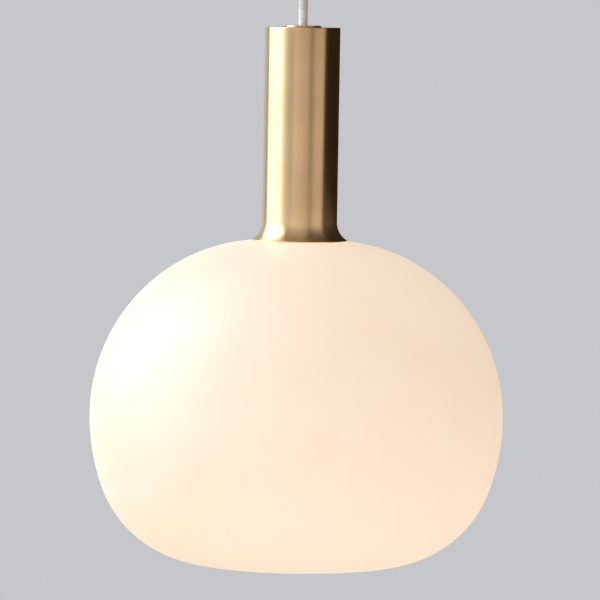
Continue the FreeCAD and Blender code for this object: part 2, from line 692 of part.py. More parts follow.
def glass_globe():
    outer_up, outer_up_end = globe_wall(UPPER_ARCS, 1, 0)
    inner_up, inner_up_end = globe_wall(UPPER_ARCS, 1, GLASS)
    outer_low, outer_low_end = globe_wall(LOWER_ARCS, -1, 0)
    inner_low, inner_low_end = globe_wall(LOWER_ARCS, -1, GLASS)
    crown, seat = shallow_arc(outer_up_end, SEAT_R, CROWN_R, 1)
    under_crown, neck = shallow_arc(inner_up_end, TOP_HOLE_R, CROWN_R - GLASS, 1)
    base, lip_out = shallow_arc(outer_low_end, OPENING_R, BASE_R, -1)
    inner_base, lip_in = shallow_arc(inner_low_end, OPENING_R, BASE_R - GLASS, -1)
    lip_middle = vec(OPENING_R - GLASS / 2, 0, (lip_out.z + lip_in.z) / 2)
    seat_lines = [
        Part.LineSegment(seat, vec(TOP_HOLE_R, 0, seat.z)).toShape(),
        Part.LineSegment(vec(TOP_HOLE_R, 0, seat.z), neck).toShape(),
    ]
    lip = Part.Arc(lip_out, lip_middle, lip_in).toShape()
    upper = outer_up + [crown] + seat_lines + [under_crown] + inner_up[::-1]
    lower = inner_low + [inner_base, lip, base] + outer_low[::-1]
    return revolved_edges(Part.sortEdges(upper + lower)[0])


def lower_gasket():
    return ring(*LOWER_GASKET)


def shade_ring():
    """Threaded ring with a flange above and finger notches round its hub."""
    bore = SKIRT_R + THREAD_GAP
    under = RING_TOP_Z - RING_FLANGE_T
    hub_top = under - RING_FILLET
    body = revolved([
        (bore, RING_TOP_Z), (RING_FLANGE_R, RING_TOP_Z), (RING_FLANGE_R, under), (RING_HUB_R, hub_top),
        (RING_HUB_R, RING_BOTTOM_Z + RING_EDGE), (RING_HUB_R - RING_EDGE, RING_BOTTOM_Z),
        (bore, RING_BOTTOM_Z),
    ])
    reach = RING_HUB_R + 0.5
    for k in range(RING_NOTCHES):
        angle = math.radians(360.0 / RING_NOTCHES * k)
        x, y = reach * math.cos(angle), reach * math.sin(angle)
        body = body.cut(rod(RING_NOTCH_R, RING_BOTTOM_Z - 1, hub_top, x, y))
    return body


# ---- bulb ----
def bulb_contact():
    return revolved([(r, CONTACT_Z - depth) for r, depth in BULB_TIP])


def bulb_insulator():
    high = CONTACT_Z - BULB_TIP[-1][1] - FIT_GAP
    low = CONTACT_Z - BULB_SHOULDER[0]
    return revolved([(0, high), (BULB_GLASS_R, high), (BULB_CAP_NECK_R, low), (0, low)])


def bulb_cap():
    wall = BULB_CAP_WALL
    neck, slope, full = (CONTACT_Z - depth for depth in BULB_SHOULDER)
    rim = CONTACT_Z - BULB_CAP_LENGTH
    return revolved([
        (BULB_CAP_NECK_R, neck), (BULB_CAP_R - 0.6, slope), (BULB_CAP_R, full), (BULB_CAP_R, rim),
        (BULB_CAP_R - wall, rim), (BULB_CAP_R - wall, full), (BULB_CAP_NECK_R - wall, neck - 0.1),
        (BULB_CAP_NECK_R - wall, neck),
    ])


def bulb_housing():
    top = CONTACT_Z - BULB_PLUG_DEPTH
    rim = CONTACT_Z - BULB_CAP_LENGTH - FIT_GAP
    plug_in, plug_out = HOUSING_PLUG
    rim_in, rim_out = HOUSING_RIM
    return revolved([
        (plug_in, top), (plug_out, top), (plug_out, rim), (rim_out, rim),
        *HOUSING_OUTSIDE, *HOUSING_INSIDE, (rim_in, rim),
    ])


def bulb_led_plate():
    outer, bore, thickness = LED_PLATE
    return ring(outer, bore, HOUSING_LOW_Z, HOUSING_LOW_Z + thickness)


def bulb_leds():
    half_x, half_y = LED_HALF
    chip = box((-half_x, -half_y, HOUSING_LOW_Z - LED_H), (half_x, half_y, HOUSING_LOW_Z))
    chip = placed(chip, LED_CIRCLE_R, 0, 0)
    return Part.makeCompound([
        placed(chip, 0, 0, 0, vec(0, 0, 1), 360.0 / LED_COUNT * k) for k in range(LED_COUNT)
    ])


def bulb_diffuser():
    """Thin dome that closes the bulb below its housing, a true sphere from its widest level."""
    tip = CONTACT_Z - BULB_LENGTH
    middle = tip + BULB_R
    top_z = HOUSING_LOW_Z - FIT_GAP
    rim = HOUSING_OUTSIDE[-1][0]
    flank_out, flank_in, flank_z = DOME_FLANK
    top = vec(rim, 0, top_z)

    outer = [
        Part.Arc(top, vec(flank_out, 0, flank_z), vec(BULB_R, 0, middle)).toShape(),
        Part.Arc(
            vec(BULB_R, 0, middle),
            vec(BULB_R * math.sqrt(0.5), 0, middle - BULB_R * math.sqrt(0.5)), vec(0, 0, tip)
        ).toShape(),
    ]
    small = BULB_R - DOME_WALL
    inner = [
        Part.LineSegment(vec(0, 0, tip), vec(0, 0, tip + DOME_WALL)).toShape(),
        Part.Arc(
            vec(0, 0, tip + DOME_WALL),
            vec(small * math.sqrt(0.5), 0, middle - small * math.sqrt(0.5)), vec(small, 0, middle)
        ).toShape(),
        Part.Arc(
            vec(small, 0, middle), vec(flank_in, 0, flank_z), vec(rim - DOME_WALL, 0, top_z)
        ).toShape(),
        Part.LineSegment(vec(rim - DOME_WALL, 0, top_z), top).toShape(),
    ]
    return revolved_edges(outer + inner)


PIECES = {
    "ceiling_bracket": ceiling_bracket,
    "canopy_nipple": canopy_nipple,
    "nipple_nuts": nipple_nuts,
    "nipple_toothed_washer": nipple_toothed_washer,
    "canopy_cup": canopy_cup,
    "canopy_collar": canopy_collar,
    "canopy_grip_ring": canopy_grip_ring,
    "canopy_grip_screw": canopy_grip_screw,
    "terminal_block": terminal_block,
    "block_inserts": block_inserts,
    "block_terminal_screws": block_terminal_screws,
    "block_fixing_screw": block_fixing_screw,
    "bracket_earth_screw": bracket_earth_screw,
    "canopy_wire_live": lambda: canopy_wire("live"),
    "canopy_wire_neutral": lambda: canopy_wire("neutral"),
    "canopy_wire_earth": lambda: canopy_wire("earth"),
    "cord_in_canopy": cord_in_canopy,
    "cord_flex": cord_flex,
    "cord_drop": cord_drop,
    "top_disc": top_disc,
    "cup_shell": cup_shell,
    "top_toothed_washer": top_toothed_washer,
    "top_lock_nut": top_lock_nut,
    "top_cord_grip": top_cord_grip,
    "hollow_rod": hollow_rod,
    "rod_nuts": rod_nuts,
    "holder_cap": holder_cap,
    "contact_block": contact_block,
    "centre_contact": centre_contact,
    "side_contact": side_contact,
    "terminal_screws": terminal_screws,
    "holder_earth_post": holder_earth_post,
    "holder_earth_screw": holder_earth_screw,
    "thread_shell": thread_shell,
    "shell_rivets": shell_rivets,
    "holder_skirt": holder_skirt,
    "holder_lead_live": lambda: holder_lead("live"),
    "holder_lead_neutral": lambda: holder_lead("neutral"),
    "holder_lead_earth": lambda: holder_lead("earth"),
    "upper_gasket": upper_gasket,
    "glass_globe": glass_globe,
    "lower_gasket": lower_gasket,
    "shade_ring": shade_ring,
    "bulb_contact": bulb_contact,
    "bulb_insulator": bulb_insulator,
    "bulb_cap": bulb_cap,
    "bulb_housing": bulb_housing,
    "bulb_led_plate": bulb_led_plate,
    "bulb_leds": bulb_leds,
    "bulb_diffuser": bulb_diffuser,
}

os.makedirs("parts", exist_ok=True)
for name, make in PIECES.items():
    shape = make()
    if not shape.isValid():
        raise ValueError(f"{name} is not a valid shape")
    shape.exportStep(f"parts/{name}.step")
    low = shape.BoundBox
    print(f"{name:24s} solids {len(shape.Solids)} volume {shape.Volume:10.1f}"
          f" z {low.ZMin:8.2f} {low.ZMax:8.2f}")
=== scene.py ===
"""Pendant ceiling light: an opal glass globe under a spun brass cup, hung on a braided textile flex.

Every size is in metres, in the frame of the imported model: the origin is the centre of the ceiling plane,
+Z is up and the lamp hangs below. Each sub-assembly is a class that builds and dresses its own pieces.
"""

import logging
import math
from dataclasses import dataclass
from enum import Enum
from typing import Iterable, Sequence

import bmesh
import bpy
import numpy as np
from mathutils import Matrix, Vector


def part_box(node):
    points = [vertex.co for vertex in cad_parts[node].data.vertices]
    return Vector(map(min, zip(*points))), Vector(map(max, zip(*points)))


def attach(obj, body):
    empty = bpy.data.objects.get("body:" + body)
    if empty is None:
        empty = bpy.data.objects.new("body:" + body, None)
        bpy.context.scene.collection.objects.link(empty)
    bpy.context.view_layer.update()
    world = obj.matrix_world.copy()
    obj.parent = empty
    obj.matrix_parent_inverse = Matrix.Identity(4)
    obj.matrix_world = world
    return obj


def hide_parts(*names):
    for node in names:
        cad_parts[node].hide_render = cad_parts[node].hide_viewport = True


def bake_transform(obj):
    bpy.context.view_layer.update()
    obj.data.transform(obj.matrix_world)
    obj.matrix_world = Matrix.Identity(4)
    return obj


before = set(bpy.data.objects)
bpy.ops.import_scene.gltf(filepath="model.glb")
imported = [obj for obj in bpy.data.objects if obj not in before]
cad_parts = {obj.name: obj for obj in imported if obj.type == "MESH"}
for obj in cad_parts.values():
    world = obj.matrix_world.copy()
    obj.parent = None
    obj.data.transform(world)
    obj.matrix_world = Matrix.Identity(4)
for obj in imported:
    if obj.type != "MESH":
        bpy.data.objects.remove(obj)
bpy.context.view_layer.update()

log = logging.getLogger("pendant")
MM = 0.001
FULL_TURN = 2 * math.pi

Colour = tuple[float, float, float]
NodeInput = object


# ---------------------------------------------------------------- node helpers
def set_inputs(tree: bpy.types.NodeTree, node: bpy.types.Node, inputs: dict[object, NodeInput]) -> None:
    """Sets each named or numbered input of a node to a value, or links it from an output socket."""
    for name, value in inputs.items():
        if isinstance(value, bpy.types.NodeSocket):
            tree.links.new(value, node.inputs[name])
        else:
            node.inputs[name].default_value = value


def add_node(tree: bpy.types.NodeTree, kind: str, inputs: dict[object, NodeInput] | None = None,
             **settings: object) -> bpy.types.Node:
    """Adds a node, sets its settings, and sets or links its inputs.

    Args:
        tree: The node tree that gets the node.
        kind: The node's type name.
        inputs: Input name or index to a value, or to an output socket to link from.
        settings: Attributes of the node itself.

    Returns:
        The new node.
    """
    node = tree.nodes.new(kind)
    for name, value in settings.items():
        setattr(node, name, value)
    set_inputs(tree, node, inputs or {})
    return node


def math_node(tree: bpy.types.NodeTree, operation: str, *values: NodeInput,
              clamp: bool = False) -> bpy.types.NodeSocket:
    """Adds a Math node on the given values or sockets and returns its result."""
    inputs = dict(enumerate(values))
    return add_node(tree, "ShaderNodeMath", inputs, operation=operation, use_clamp=clamp).outputs[0]


def ramp_node(tree: bpy.types.NodeTree, factor: bpy.types.NodeSocket,
              stops: Sequence[tuple[float, float]]) -> bpy.types.NodeSocket:
    """Adds a Map Range node between the first and last stop, smoothly.

    Args:
        tree: The node tree.
        factor: The value that is mapped.
        stops: Two (input, output) pairs.

    Returns:
        The mapped value.
    """
    (low, out_low), (high, out_high) = stops
    node = add_node(tree, "ShaderNodeMapRange", {
        "Value": factor, "From Min": low, "From Max": high, "To Min": out_low, "To Max": out_high,
    }, interpolation_type="SMOOTHSTEP")
    return node.outputs["Result"]


def mix_colour(tree: bpy.types.NodeTree, factor: NodeInput, first: NodeInput, second: NodeInput,
               blend: str = "MIX") -> bpy.types.NodeSocket:
    """Adds a colour Mix node and returns its colour."""
    inputs = {0: factor, 6: first, 7: second}
    return add_node(tree, "ShaderNodeMix", inputs, data_type="RGBA", blend_type=blend).outputs[2]


def rgba(colour: Colour) -> tuple[float, float, float, float]:
    """Adds a full alpha to a colour."""
    return (*colour, 1.0)


class ShaderGroup:
    """A shader node group with named inputs and outputs, built once and placed in many materials."""

    def __init__(self, name: str, inputs: dict[str, float], outputs: Sequence[str]) -> None:
        """Makes the group's sockets.

        Args:
            name: The group's name.
            inputs: Input name to default value, all plain floats.
            outputs: The names of the outputs, all plain floats.
        """
        self.tree = bpy.data.node_groups.new(name, "ShaderNodeTree")
        for socket, value in inputs.items():
            made = self.tree.interface.new_socket(socket, in_out="INPUT", socket_type="NodeSocketFloat")
            made.default_value = value
        for socket in outputs:
            self.tree.interface.new_socket(socket, in_out="OUTPUT", socket_type="NodeSocketFloat")
        self.given = self.tree.nodes.new("NodeGroupInput").outputs
        self.result = self.tree.nodes.new("NodeGroupOutput")

    def finish(self, **sockets: bpy.types.NodeSocket) -> "ShaderGroup":
        """Links the named results, with spaces written as underscores, and returns the group."""
        for name, socket in sockets.items():
            self.tree.links.new(socket, self.result.inputs[name.replace("_", " ")])
        return self

    def place(self, tree: bpy.types.NodeTree, **values: NodeInput) -> bpy.types.Node:
        """Puts the group in a material with its own values, and returns the group's node."""
        inputs = {name.replace("_", " "): value for name, value in values.items()}
        return add_node(tree, "ShaderNodeGroup", inputs, node_tree=self.tree)


def object_vector(tree: bpy.types.NodeTree) -> bpy.types.NodeSocket:
    """The piece's own coordinates, in metres."""
    return add_node(tree, "ShaderNodeTexCoord").outputs["Object"]


def build_turning_lines() -> ShaderGroup:
    """Fine rings left by turning and brushing a piece about the lamp's axis."""
    group = ShaderGroup("turning_lines", {"Lines": 9000.0, "Breaks": 160.0}, ("Height", "Tone"))
    tree = group.tree
    where = add_node(tree, "ShaderNodeTexCoord")
    place = add_node(tree, "ShaderNodeSeparateXYZ", {0: where.outputs["Object"]})
    facing = add_node(tree, "ShaderNodeSeparateXYZ", {0: where.outputs["Normal"]})
    across = math_node(tree, "MULTIPLY", place.outputs["X"], place.outputs["X"])
    along = math_node(tree, "MULTIPLY", place.outputs["Y"], place.outputs["Y"])
    radius = math_node(tree, "SQRT", math_node(tree, "ADD", across, along))
    flat = math_node(tree, "ABSOLUTE", facing.outputs["Z"])
    upright = math_node(tree, "SUBTRACT", 1.0, flat)
    level = math_node(tree, "ADD", math_node(tree, "MULTIPLY", place.outputs["Z"], upright),
                      math_node(tree, "MULTIPLY", radius, flat))
    lines = math_node(tree, "MULTIPLY", level, group.given["Lines"])
    side = math_node(tree, "MULTIPLY", place.outputs["X"], group.given["Breaks"])
    depth = math_node(tree, "MULTIPLY", place.outputs["Y"], group.given["Breaks"])
    vector = add_node(tree, "ShaderNodeCombineXYZ", {"X": side, "Y": depth, "Z": lines})
    fine = add_node(tree, "ShaderNodeTexNoise", {"Vector": vector.outputs[0], "Scale": 1.0, "Detail": 3.0})
    slow = math_node(tree, "MULTIPLY", lines, 0.11)
    band = add_node(tree, "ShaderNodeCombineXYZ", {"X": 0.0, "Y": 0.0, "Z": slow})
    broad = add_node(tree, "ShaderNodeTexNoise", {"Vector": band.outputs[0], "Scale": 1.0, "Detail": 2.0})
    height = math_node(tree, "ADD", fine.outputs["Fac"],
                       math_node(tree, "MULTIPLY", broad.outputs["Fac"], 0.35))
    tone = ramp_node(tree, height, ((0.45, 0.0), (0.9, 1.0)))
    return group.finish(Height=height, Tone=tone)


def build_handling() -> ShaderGroup:
    """Uneven sheen from handling and age: soft clouds and a few small dull spots."""
    group = ShaderGroup("handling", {"Size": 30.0, "Spots": 400.0}, ("Clouds", "Specks"))
    tree = group.tree
    where = object_vector(tree)
    clouds = add_node(tree, "ShaderNodeTexNoise", {
        "Vector": where, "Scale": group.given["Size"], "Detail": 5.0, "Roughness": 0.6, "Distortion": 0.4,
    })
    cells = add_node(tree, "ShaderNodeTexVoronoi", {"Vector": where, "Scale": group.given["Spots"]})
    choice = add_node(tree, "ShaderNodeSeparateColor", {0: cells.outputs["Color"]})
    rare = math_node(tree, "GREATER_THAN", choice.outputs[0], 0.93)
    near = ramp_node(tree, cells.outputs["Distance"], ((0.0, 1.0), (0.22, 0.0)))
    specks = math_node(tree, "MULTIPLY", rare, near)
    return group.finish(Clouds=ramp_node(tree, clouds.outputs["Fac"], ((0.32, 0.0), (0.72, 1.0))),
                        Specks=specks)


def build_edge_rub() -> ShaderGroup:
    """Where edges are rubbed: the piece's own edge attribute, broken up by noise."""
    group = ShaderGroup("edge_rub", {"Break Up": 900.0}, ("Mask",))
    tree = group.tree
    edge = add_node(tree, "ShaderNodeAttribute", attribute_name="edge").outputs["Fac"]
    noise = add_node(tree, "ShaderNodeTexNoise", {
        "Vector": object_vector(tree), "Scale": group.given["Break Up"], "Detail": 3.0,
    })
    broken = ramp_node(tree, noise.outputs["Fac"], ((0.35, 0.35), (0.6, 1.0)))
    return group.finish(Mask=math_node(tree, "MULTIPLY", edge, broken, clamp=True))


def build_stipple() -> ShaderGroup:
    """The fine eroded texture of a moulding tool, and a slow unevenness under it."""
    group = ShaderGroup("stipple", {"Grain": 3500.0}, ("Height", "Slow"))
    tree = group.tree
    where = object_vector(tree)
    grain = add_node(tree, "ShaderNodeTexNoise", {
        "Vector": where, "Scale": group.given["Grain"], "Detail": 2.0, "Roughness": 0.7,
    })
    slow = add_node(tree, "ShaderNodeTexNoise", {"Vector": where, "Scale": 60.0, "Detail": 3.0})
    return group.finish(Height=grain.outputs["Fac"], Slow=slow.outputs["Fac"])


class Groups:
    """The shader groups that materials share, each built once."""

    turning_lines: ShaderGroup
    handling: ShaderGroup
    edge_rub: ShaderGroup
    stipple: ShaderGroup

    @classmethod
    def build(cls) -> None:
        """Builds every shared group."""
        cls.turning_lines = build_turning_lines()
        cls.handling = build_handling()
        cls.edge_rub = build_edge_rub()
        cls.stipple = build_stipple()


# ---------------------------------------------------------------- finishes
class Grain(Enum):
    """Which way a brushed metal's marks run."""

    TURNED = "turned"
    PLAIN = "plain"


def new_material(name: str) -> tuple[bpy.types.Material, bpy.types.NodeTree, bpy.types.Node]:
    """Makes an empty node material with a Principled shader.

    Args:
        name: The material's name.

    Returns:
        The material, its tree and its Principled node.
    """
    material = bpy.data.materials.new(name)
    material.use_nodes = True
    tree = material.node_tree
    tree.nodes.clear()
    shader = tree.nodes.new("ShaderNodeBsdfPrincipled")
    output = tree.nodes.new("ShaderNodeOutputMaterial")
    tree.links.new(shader.outputs[0], output.inputs["Surface"])
    return material, tree, shader


def bump(tree: bpy.types.NodeTree, shader: bpy.types.Node, height: bpy.types.NodeSocket,
         distance: float, strength: float = 1.0) -> None:
    """Gives a shader a bumped normal from a height, whose full range is distance metres."""
    node = add_node(tree, "ShaderNodeBump", {"Strength": strength, "Distance": distance, "Height": height})
    tree.links.new(node.outputs[0], shader.inputs["Normal"])


@dataclass(frozen=True)
class Metal:
    """A metal with brushing or turning marks, handling marks and rubbed edges."""

    name: str
    bright: Colour
    dull: Colour
    rubbed: Colour
    grain: Grain = Grain.PLAIN
    roughness: float = 0.3
    spread: float = 0.12
    anisotropy: float = 0.0
    line_depth: float = 0.004 * MM
    lines: float = 9000.0

    def material(self) -> bpy.types.Material:
        """Builds the node material."""
        material, tree, shader = new_material(self.name)
        marks = Groups.turning_lines.place(tree, Lines=self.lines)
        handled = Groups.handling.place(tree, Size=26.0, Spots=320.0)
        rub = Groups.edge_rub.place(tree)
        tone = math_node(tree, "MULTIPLY", marks.outputs["Tone"], 0.28)
        shade = math_node(tree, "ADD", tone, math_node(tree, "MULTIPLY", handled.outputs["Clouds"], 0.45))
        shade = math_node(tree, "ADD", shade, math_node(tree, "MULTIPLY", handled.outputs["Specks"], 0.5),
                          clamp=True)
        body = mix_colour(tree, shade, rgba(self.bright), rgba(self.dull))
        colour = mix_colour(tree, rub.outputs["Mask"], body, rgba(self.rubbed))
        rough = math_node(tree, "MULTIPLY_ADD", handled.outputs["Clouds"], self.spread, self.roughness)
        rough = math_node(tree, "ADD", rough, math_node(tree, "MULTIPLY", marks.outputs["Tone"], 0.05))
        rough = math_node(tree, "SUBTRACT", rough, math_node(tree, "MULTIPLY", rub.outputs["Mask"], 0.08))
        set_inputs(tree, shader, {"Base Color": colour, "Metallic": 1.0, "Roughness": rough})
        if self.anisotropy:
            tangent = add_node(tree, "ShaderNodeTangent", direction_type="RADIAL", axis="Z")
            set_inputs(tree, shader, {
                "Anisotropic": self.anisotropy, "Anisotropic Rotation": 0.25, "Tangent": tangent.outputs[0],
            })
        relief = marks.outputs["Height"] if self.grain is Grain.TURNED else handled.outputs["Clouds"]
        bump(tree, shader, relief, self.line_depth)
        return material


@dataclass(frozen=True)
class Moulded:
    """A moulded or rubbery surface with a fine tool texture and slightly uneven colour."""

    name: str
    colour: Colour
    worn: Colour
    roughness: float = 0.45
    grain: float = 3500.0
    grain_depth: float = 0.012 * MM
    subsurface: float = 0.0
    coat: float = 0.0

    def material(self) -> bpy.types.Material:
        """Builds the node material."""
        material, tree, shader = new_material(self.name)
        texture = Groups.stipple.place(tree, Grain=self.grain)
        rub = Groups.edge_rub.place(tree)
        slow = ramp_node(tree, texture.outputs["Slow"], ((0.3, 0.0), (0.75, 0.35)))
        body = mix_colour(tree, slow, rgba(self.colour), rgba(self.worn))
        rubbed = math_node(tree, "MULTIPLY", rub.outputs["Mask"], 0.5)
        colour = mix_colour(tree, rubbed, body, rgba(self.worn))
        rough = math_node(tree, "MULTIPLY_ADD", texture.outputs["Slow"], 0.16, self.roughness - 0.06)
        set_inputs(tree, shader, {
            "Base Color": colour, "Roughness": rough, "Subsurface Weight": self.subsurface,
            "Subsurface Radius": (1.0, 0.85, 0.7), "Subsurface Scale": 0.8 * MM,
            "Coat Weight": self.coat, "Coat Roughness": 0.12,
        })
        bump(tree, shader, texture.outputs["Height"], self.grain_depth)
        return material


@dataclass(frozen=True)
class StripedCore:
    """Green and yellow insulation, its two colours winding along the core."""

    name: str
    first: Colour
    second: Colour

    def material(self) -> bpy.types.Material:
        """Builds the node material."""
        material, tree, shader = new_material(self.name)
        stripes = add_node(tree, "ShaderNodeTexWave", {
            "Vector": object_vector(tree), "Scale": 260.0, "Distortion": 1.2, "Detail": 1.0,
        }, bands_direction="DIAGONAL")
        mask = ramp_node(tree, stripes.outputs["Fac"], ((0.45, 0.0), (0.55, 1.0)))
        colour = mix_colour(tree, mask, rgba(self.first), rgba(self.second))
        texture = Groups.stipple.place(tree, Grain=2600.0)
        rough = math_node(tree, "MULTIPLY_ADD", texture.outputs["Slow"], 0.15, 0.32)
        set_inputs(tree, shader, {"Base Color": colour, "Roughness": rough})
        bump(tree, shader, texture.outputs["Height"], 0.01 * MM)
        return material


@dataclass(frozen=True)
class OpalGlass:
    """White glass with an etched, matt skin. Its emission is a painted glow that stands in for the light
    shining through it from inside.

    Where the attribute inner is 1 the skin faces the bulb, and low down its painted glow is weaker; on the
    outer skin the painted glow is a little stronger low down than higher up.
    """

    name: str
    colour: Colour = (0.25, 0.25, 0.25)
    thick: Colour = (0.24, 0.235, 0.23)
    glow: Colour = (1.0, 0.81, 0.63)
    glow_thick: Colour = (1.0, 0.77, 0.57)
    glow_strength: float = 0.86
    glow_low: float = 0.5
    glow_high: float = 0.84
    roughness: float = 0.42

    def material(self) -> bpy.types.Material:
        """Builds the node material."""
        material, tree, shader = new_material(self.name)
        where = object_vector(tree)
        cloud = add_node(tree, "ShaderNodeTexNoise", {
            "Vector": where, "Scale": 9.0, "Detail": 4.0, "Roughness": 0.5, "Distortion": 0.6,
        })
        thickness = ramp_node(tree, cloud.outputs["Fac"], ((0.3, 0.0), (0.75, 1.0)))
        height = add_node(tree, "ShaderNodeSeparateXYZ", {0: where}).outputs["Z"]
        low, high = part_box("glass_globe")
        rise = add_node(tree, "ShaderNodeMapRange", {
            "Value": height, "From Min": low.z, "From Max": high.z, "To Min": 0.0, "To Max": 1.0,
        }).outputs["Result"]
        colour = mix_colour(tree, thickness, rgba(self.colour), rgba(self.thick))
        warm = mix_colour(tree, thickness, rgba(self.glow), rgba(self.glow_thick))
        inner = add_node(tree, "ShaderNodeAttribute", attribute_name="inner").outputs["Fac"]
        # Painted glow: on the inner skin the glow is weaker low down, away from the bulb, and stronger near
        # it.
        near_bulb = ramp_node(tree, rise, ((0.15, self.glow_low - 1.0), (0.8, self.glow_high - 1.0)))
        kept = math_node(tree, "MULTIPLY_ADD", inner, near_bulb, 1.0)
        # Painted glow: brighter low down and dimmer towards the top, times the inner skin's share.
        painted_glow_level = math_node(tree, "MULTIPLY", ramp_node(tree, rise, ((0.0, 1.12), (0.7, 0.94))), kept)
        lit = mix_colour(tree, 1.0, warm, add_node(tree, "ShaderNodeCombineColor", {
            0: painted_glow_level, 1: painted_glow_level, 2: painted_glow_level}).outputs[0], "MULTIPLY")
        etched = add_node(tree, "ShaderNodeTexNoise", {"Vector": where, "Scale": 2200.0, "Detail": 2.0})
        rough = math_node(tree, "MULTIPLY_ADD", thickness, 0.08, self.roughness)
        set_inputs(tree, shader, {
            "Base Color": colour, "Emission Color": lit, "Emission Strength": self.glow_strength,
            "Subsurface Weight": 0.35, "Subsurface Radius": (1.0, 0.9, 0.75), "Subsurface Scale": 4.0 * MM,
            "IOR": 1.5, "Roughness": rough,
        })
        waves = math_node(tree, "MULTIPLY_ADD", cloud.outputs["Fac"], 12.0, etched.outputs["Fac"])
        bump(tree, shader, waves, 0.006 * MM)
        return material


@dataclass(frozen=True)
class BraidedTextile:
    """Matt white rayon yarn: fibres run along each strand, and painted shade makes the strands greyer where
    they dip under their neighbours.
    """

    name: str
    colour: Colour = (0.93, 0.97, 1.0)
    # groove: the colour of the painted shade where a strand dips under its neighbours
    groove: Colour = (0.62, 0.69, 0.78)

    def material(self) -> bpy.types.Material:
        """Builds the node material."""
        material, tree, shader = new_material(self.name)
        across = add_node(tree, "ShaderNodeAttribute", attribute_name="across").outputs["Fac"]
        along = add_node(tree, "ShaderNodeAttribute", attribute_name="along").outputs["Fac"]
        fibre = add_node(tree, "ShaderNodeCombineXYZ", {
            "X": math_node(tree, "MULTIPLY", across, 34.0), "Y": math_node(tree, "MULTIPLY", along, 900.0),
            "Z": 0.0,
        })
        threads = add_node(tree, "ShaderNodeTexNoise", {
            "Vector": fibre.outputs[0], "Scale": 1.0, "Detail": 3.0,
        })
        low = add_node(tree, "ShaderNodeAttribute", attribute_name="height").outputs["Fac"]
        # Painted shade: the lower a strand lies, the more it takes the groove colour.
        depth = ramp_node(tree, low, ((0.0, 1.0), (0.8, 0.0)))
        shade = math_node(tree, "MULTIPLY_ADD", threads.outputs["Fac"], 0.16,
                          math_node(tree, "MULTIPLY", depth, 0.4), clamp=True)
        rough = math_node(tree, "MULTIPLY_ADD", threads.outputs["Fac"], 0.2, 0.62)
        set_inputs(tree, shader, {
            "Base Color": mix_colour(tree, shade, rgba(self.colour), rgba(self.groove)),
            "Roughness": rough, "Sheen Weight": 0.25, "Sheen Roughness": 0.5,
        })
        bump(tree, shader, threads.outputs["Fac"], 0.05 * MM)
        return material


@dataclass(frozen=True)
class StudioPaper:
    """Pale matt floor with a barely visible tooth, open when it is looked at from below."""

    name: str
    colour: Colour = (0.3, 0.3, 0.31)
    lit: Colour = (0.5, 0.51, 0.53)

    def material(self) -> bpy.types.Material:
        """Builds the node material."""
        material, tree, shader = new_material(self.name)
        where = object_vector(tree)
        tooth = add_node(tree, "ShaderNodeTexNoise", {"Vector": where, "Scale": 40.0, "Detail": 3.0})
        darker = tuple(part * 0.97 for part in self.colour)
        set_inputs(tree, shader, {
            "Base Color": mix_colour(tree, tooth.outputs["Fac"], rgba(self.colour), rgba(darker)),
            "Roughness": 0.9, "Emission Color": rgba(self.lit), "Emission Strength": 1.0,
        })
        back = add_node(tree, "ShaderNodeNewGeometry").outputs["Backfacing"]
        clear = add_node(tree, "ShaderNodeBsdfTransparent")
        choose = add_node(tree, "ShaderNodeMixShader", {0: back, 1: shader.outputs[0], 2: clear.outputs[0]})
        output = next(node for node in tree.nodes if node.type == "OUTPUT_MATERIAL")
        tree.links.new(choose.outputs[0], output.inputs["Surface"])
        return material


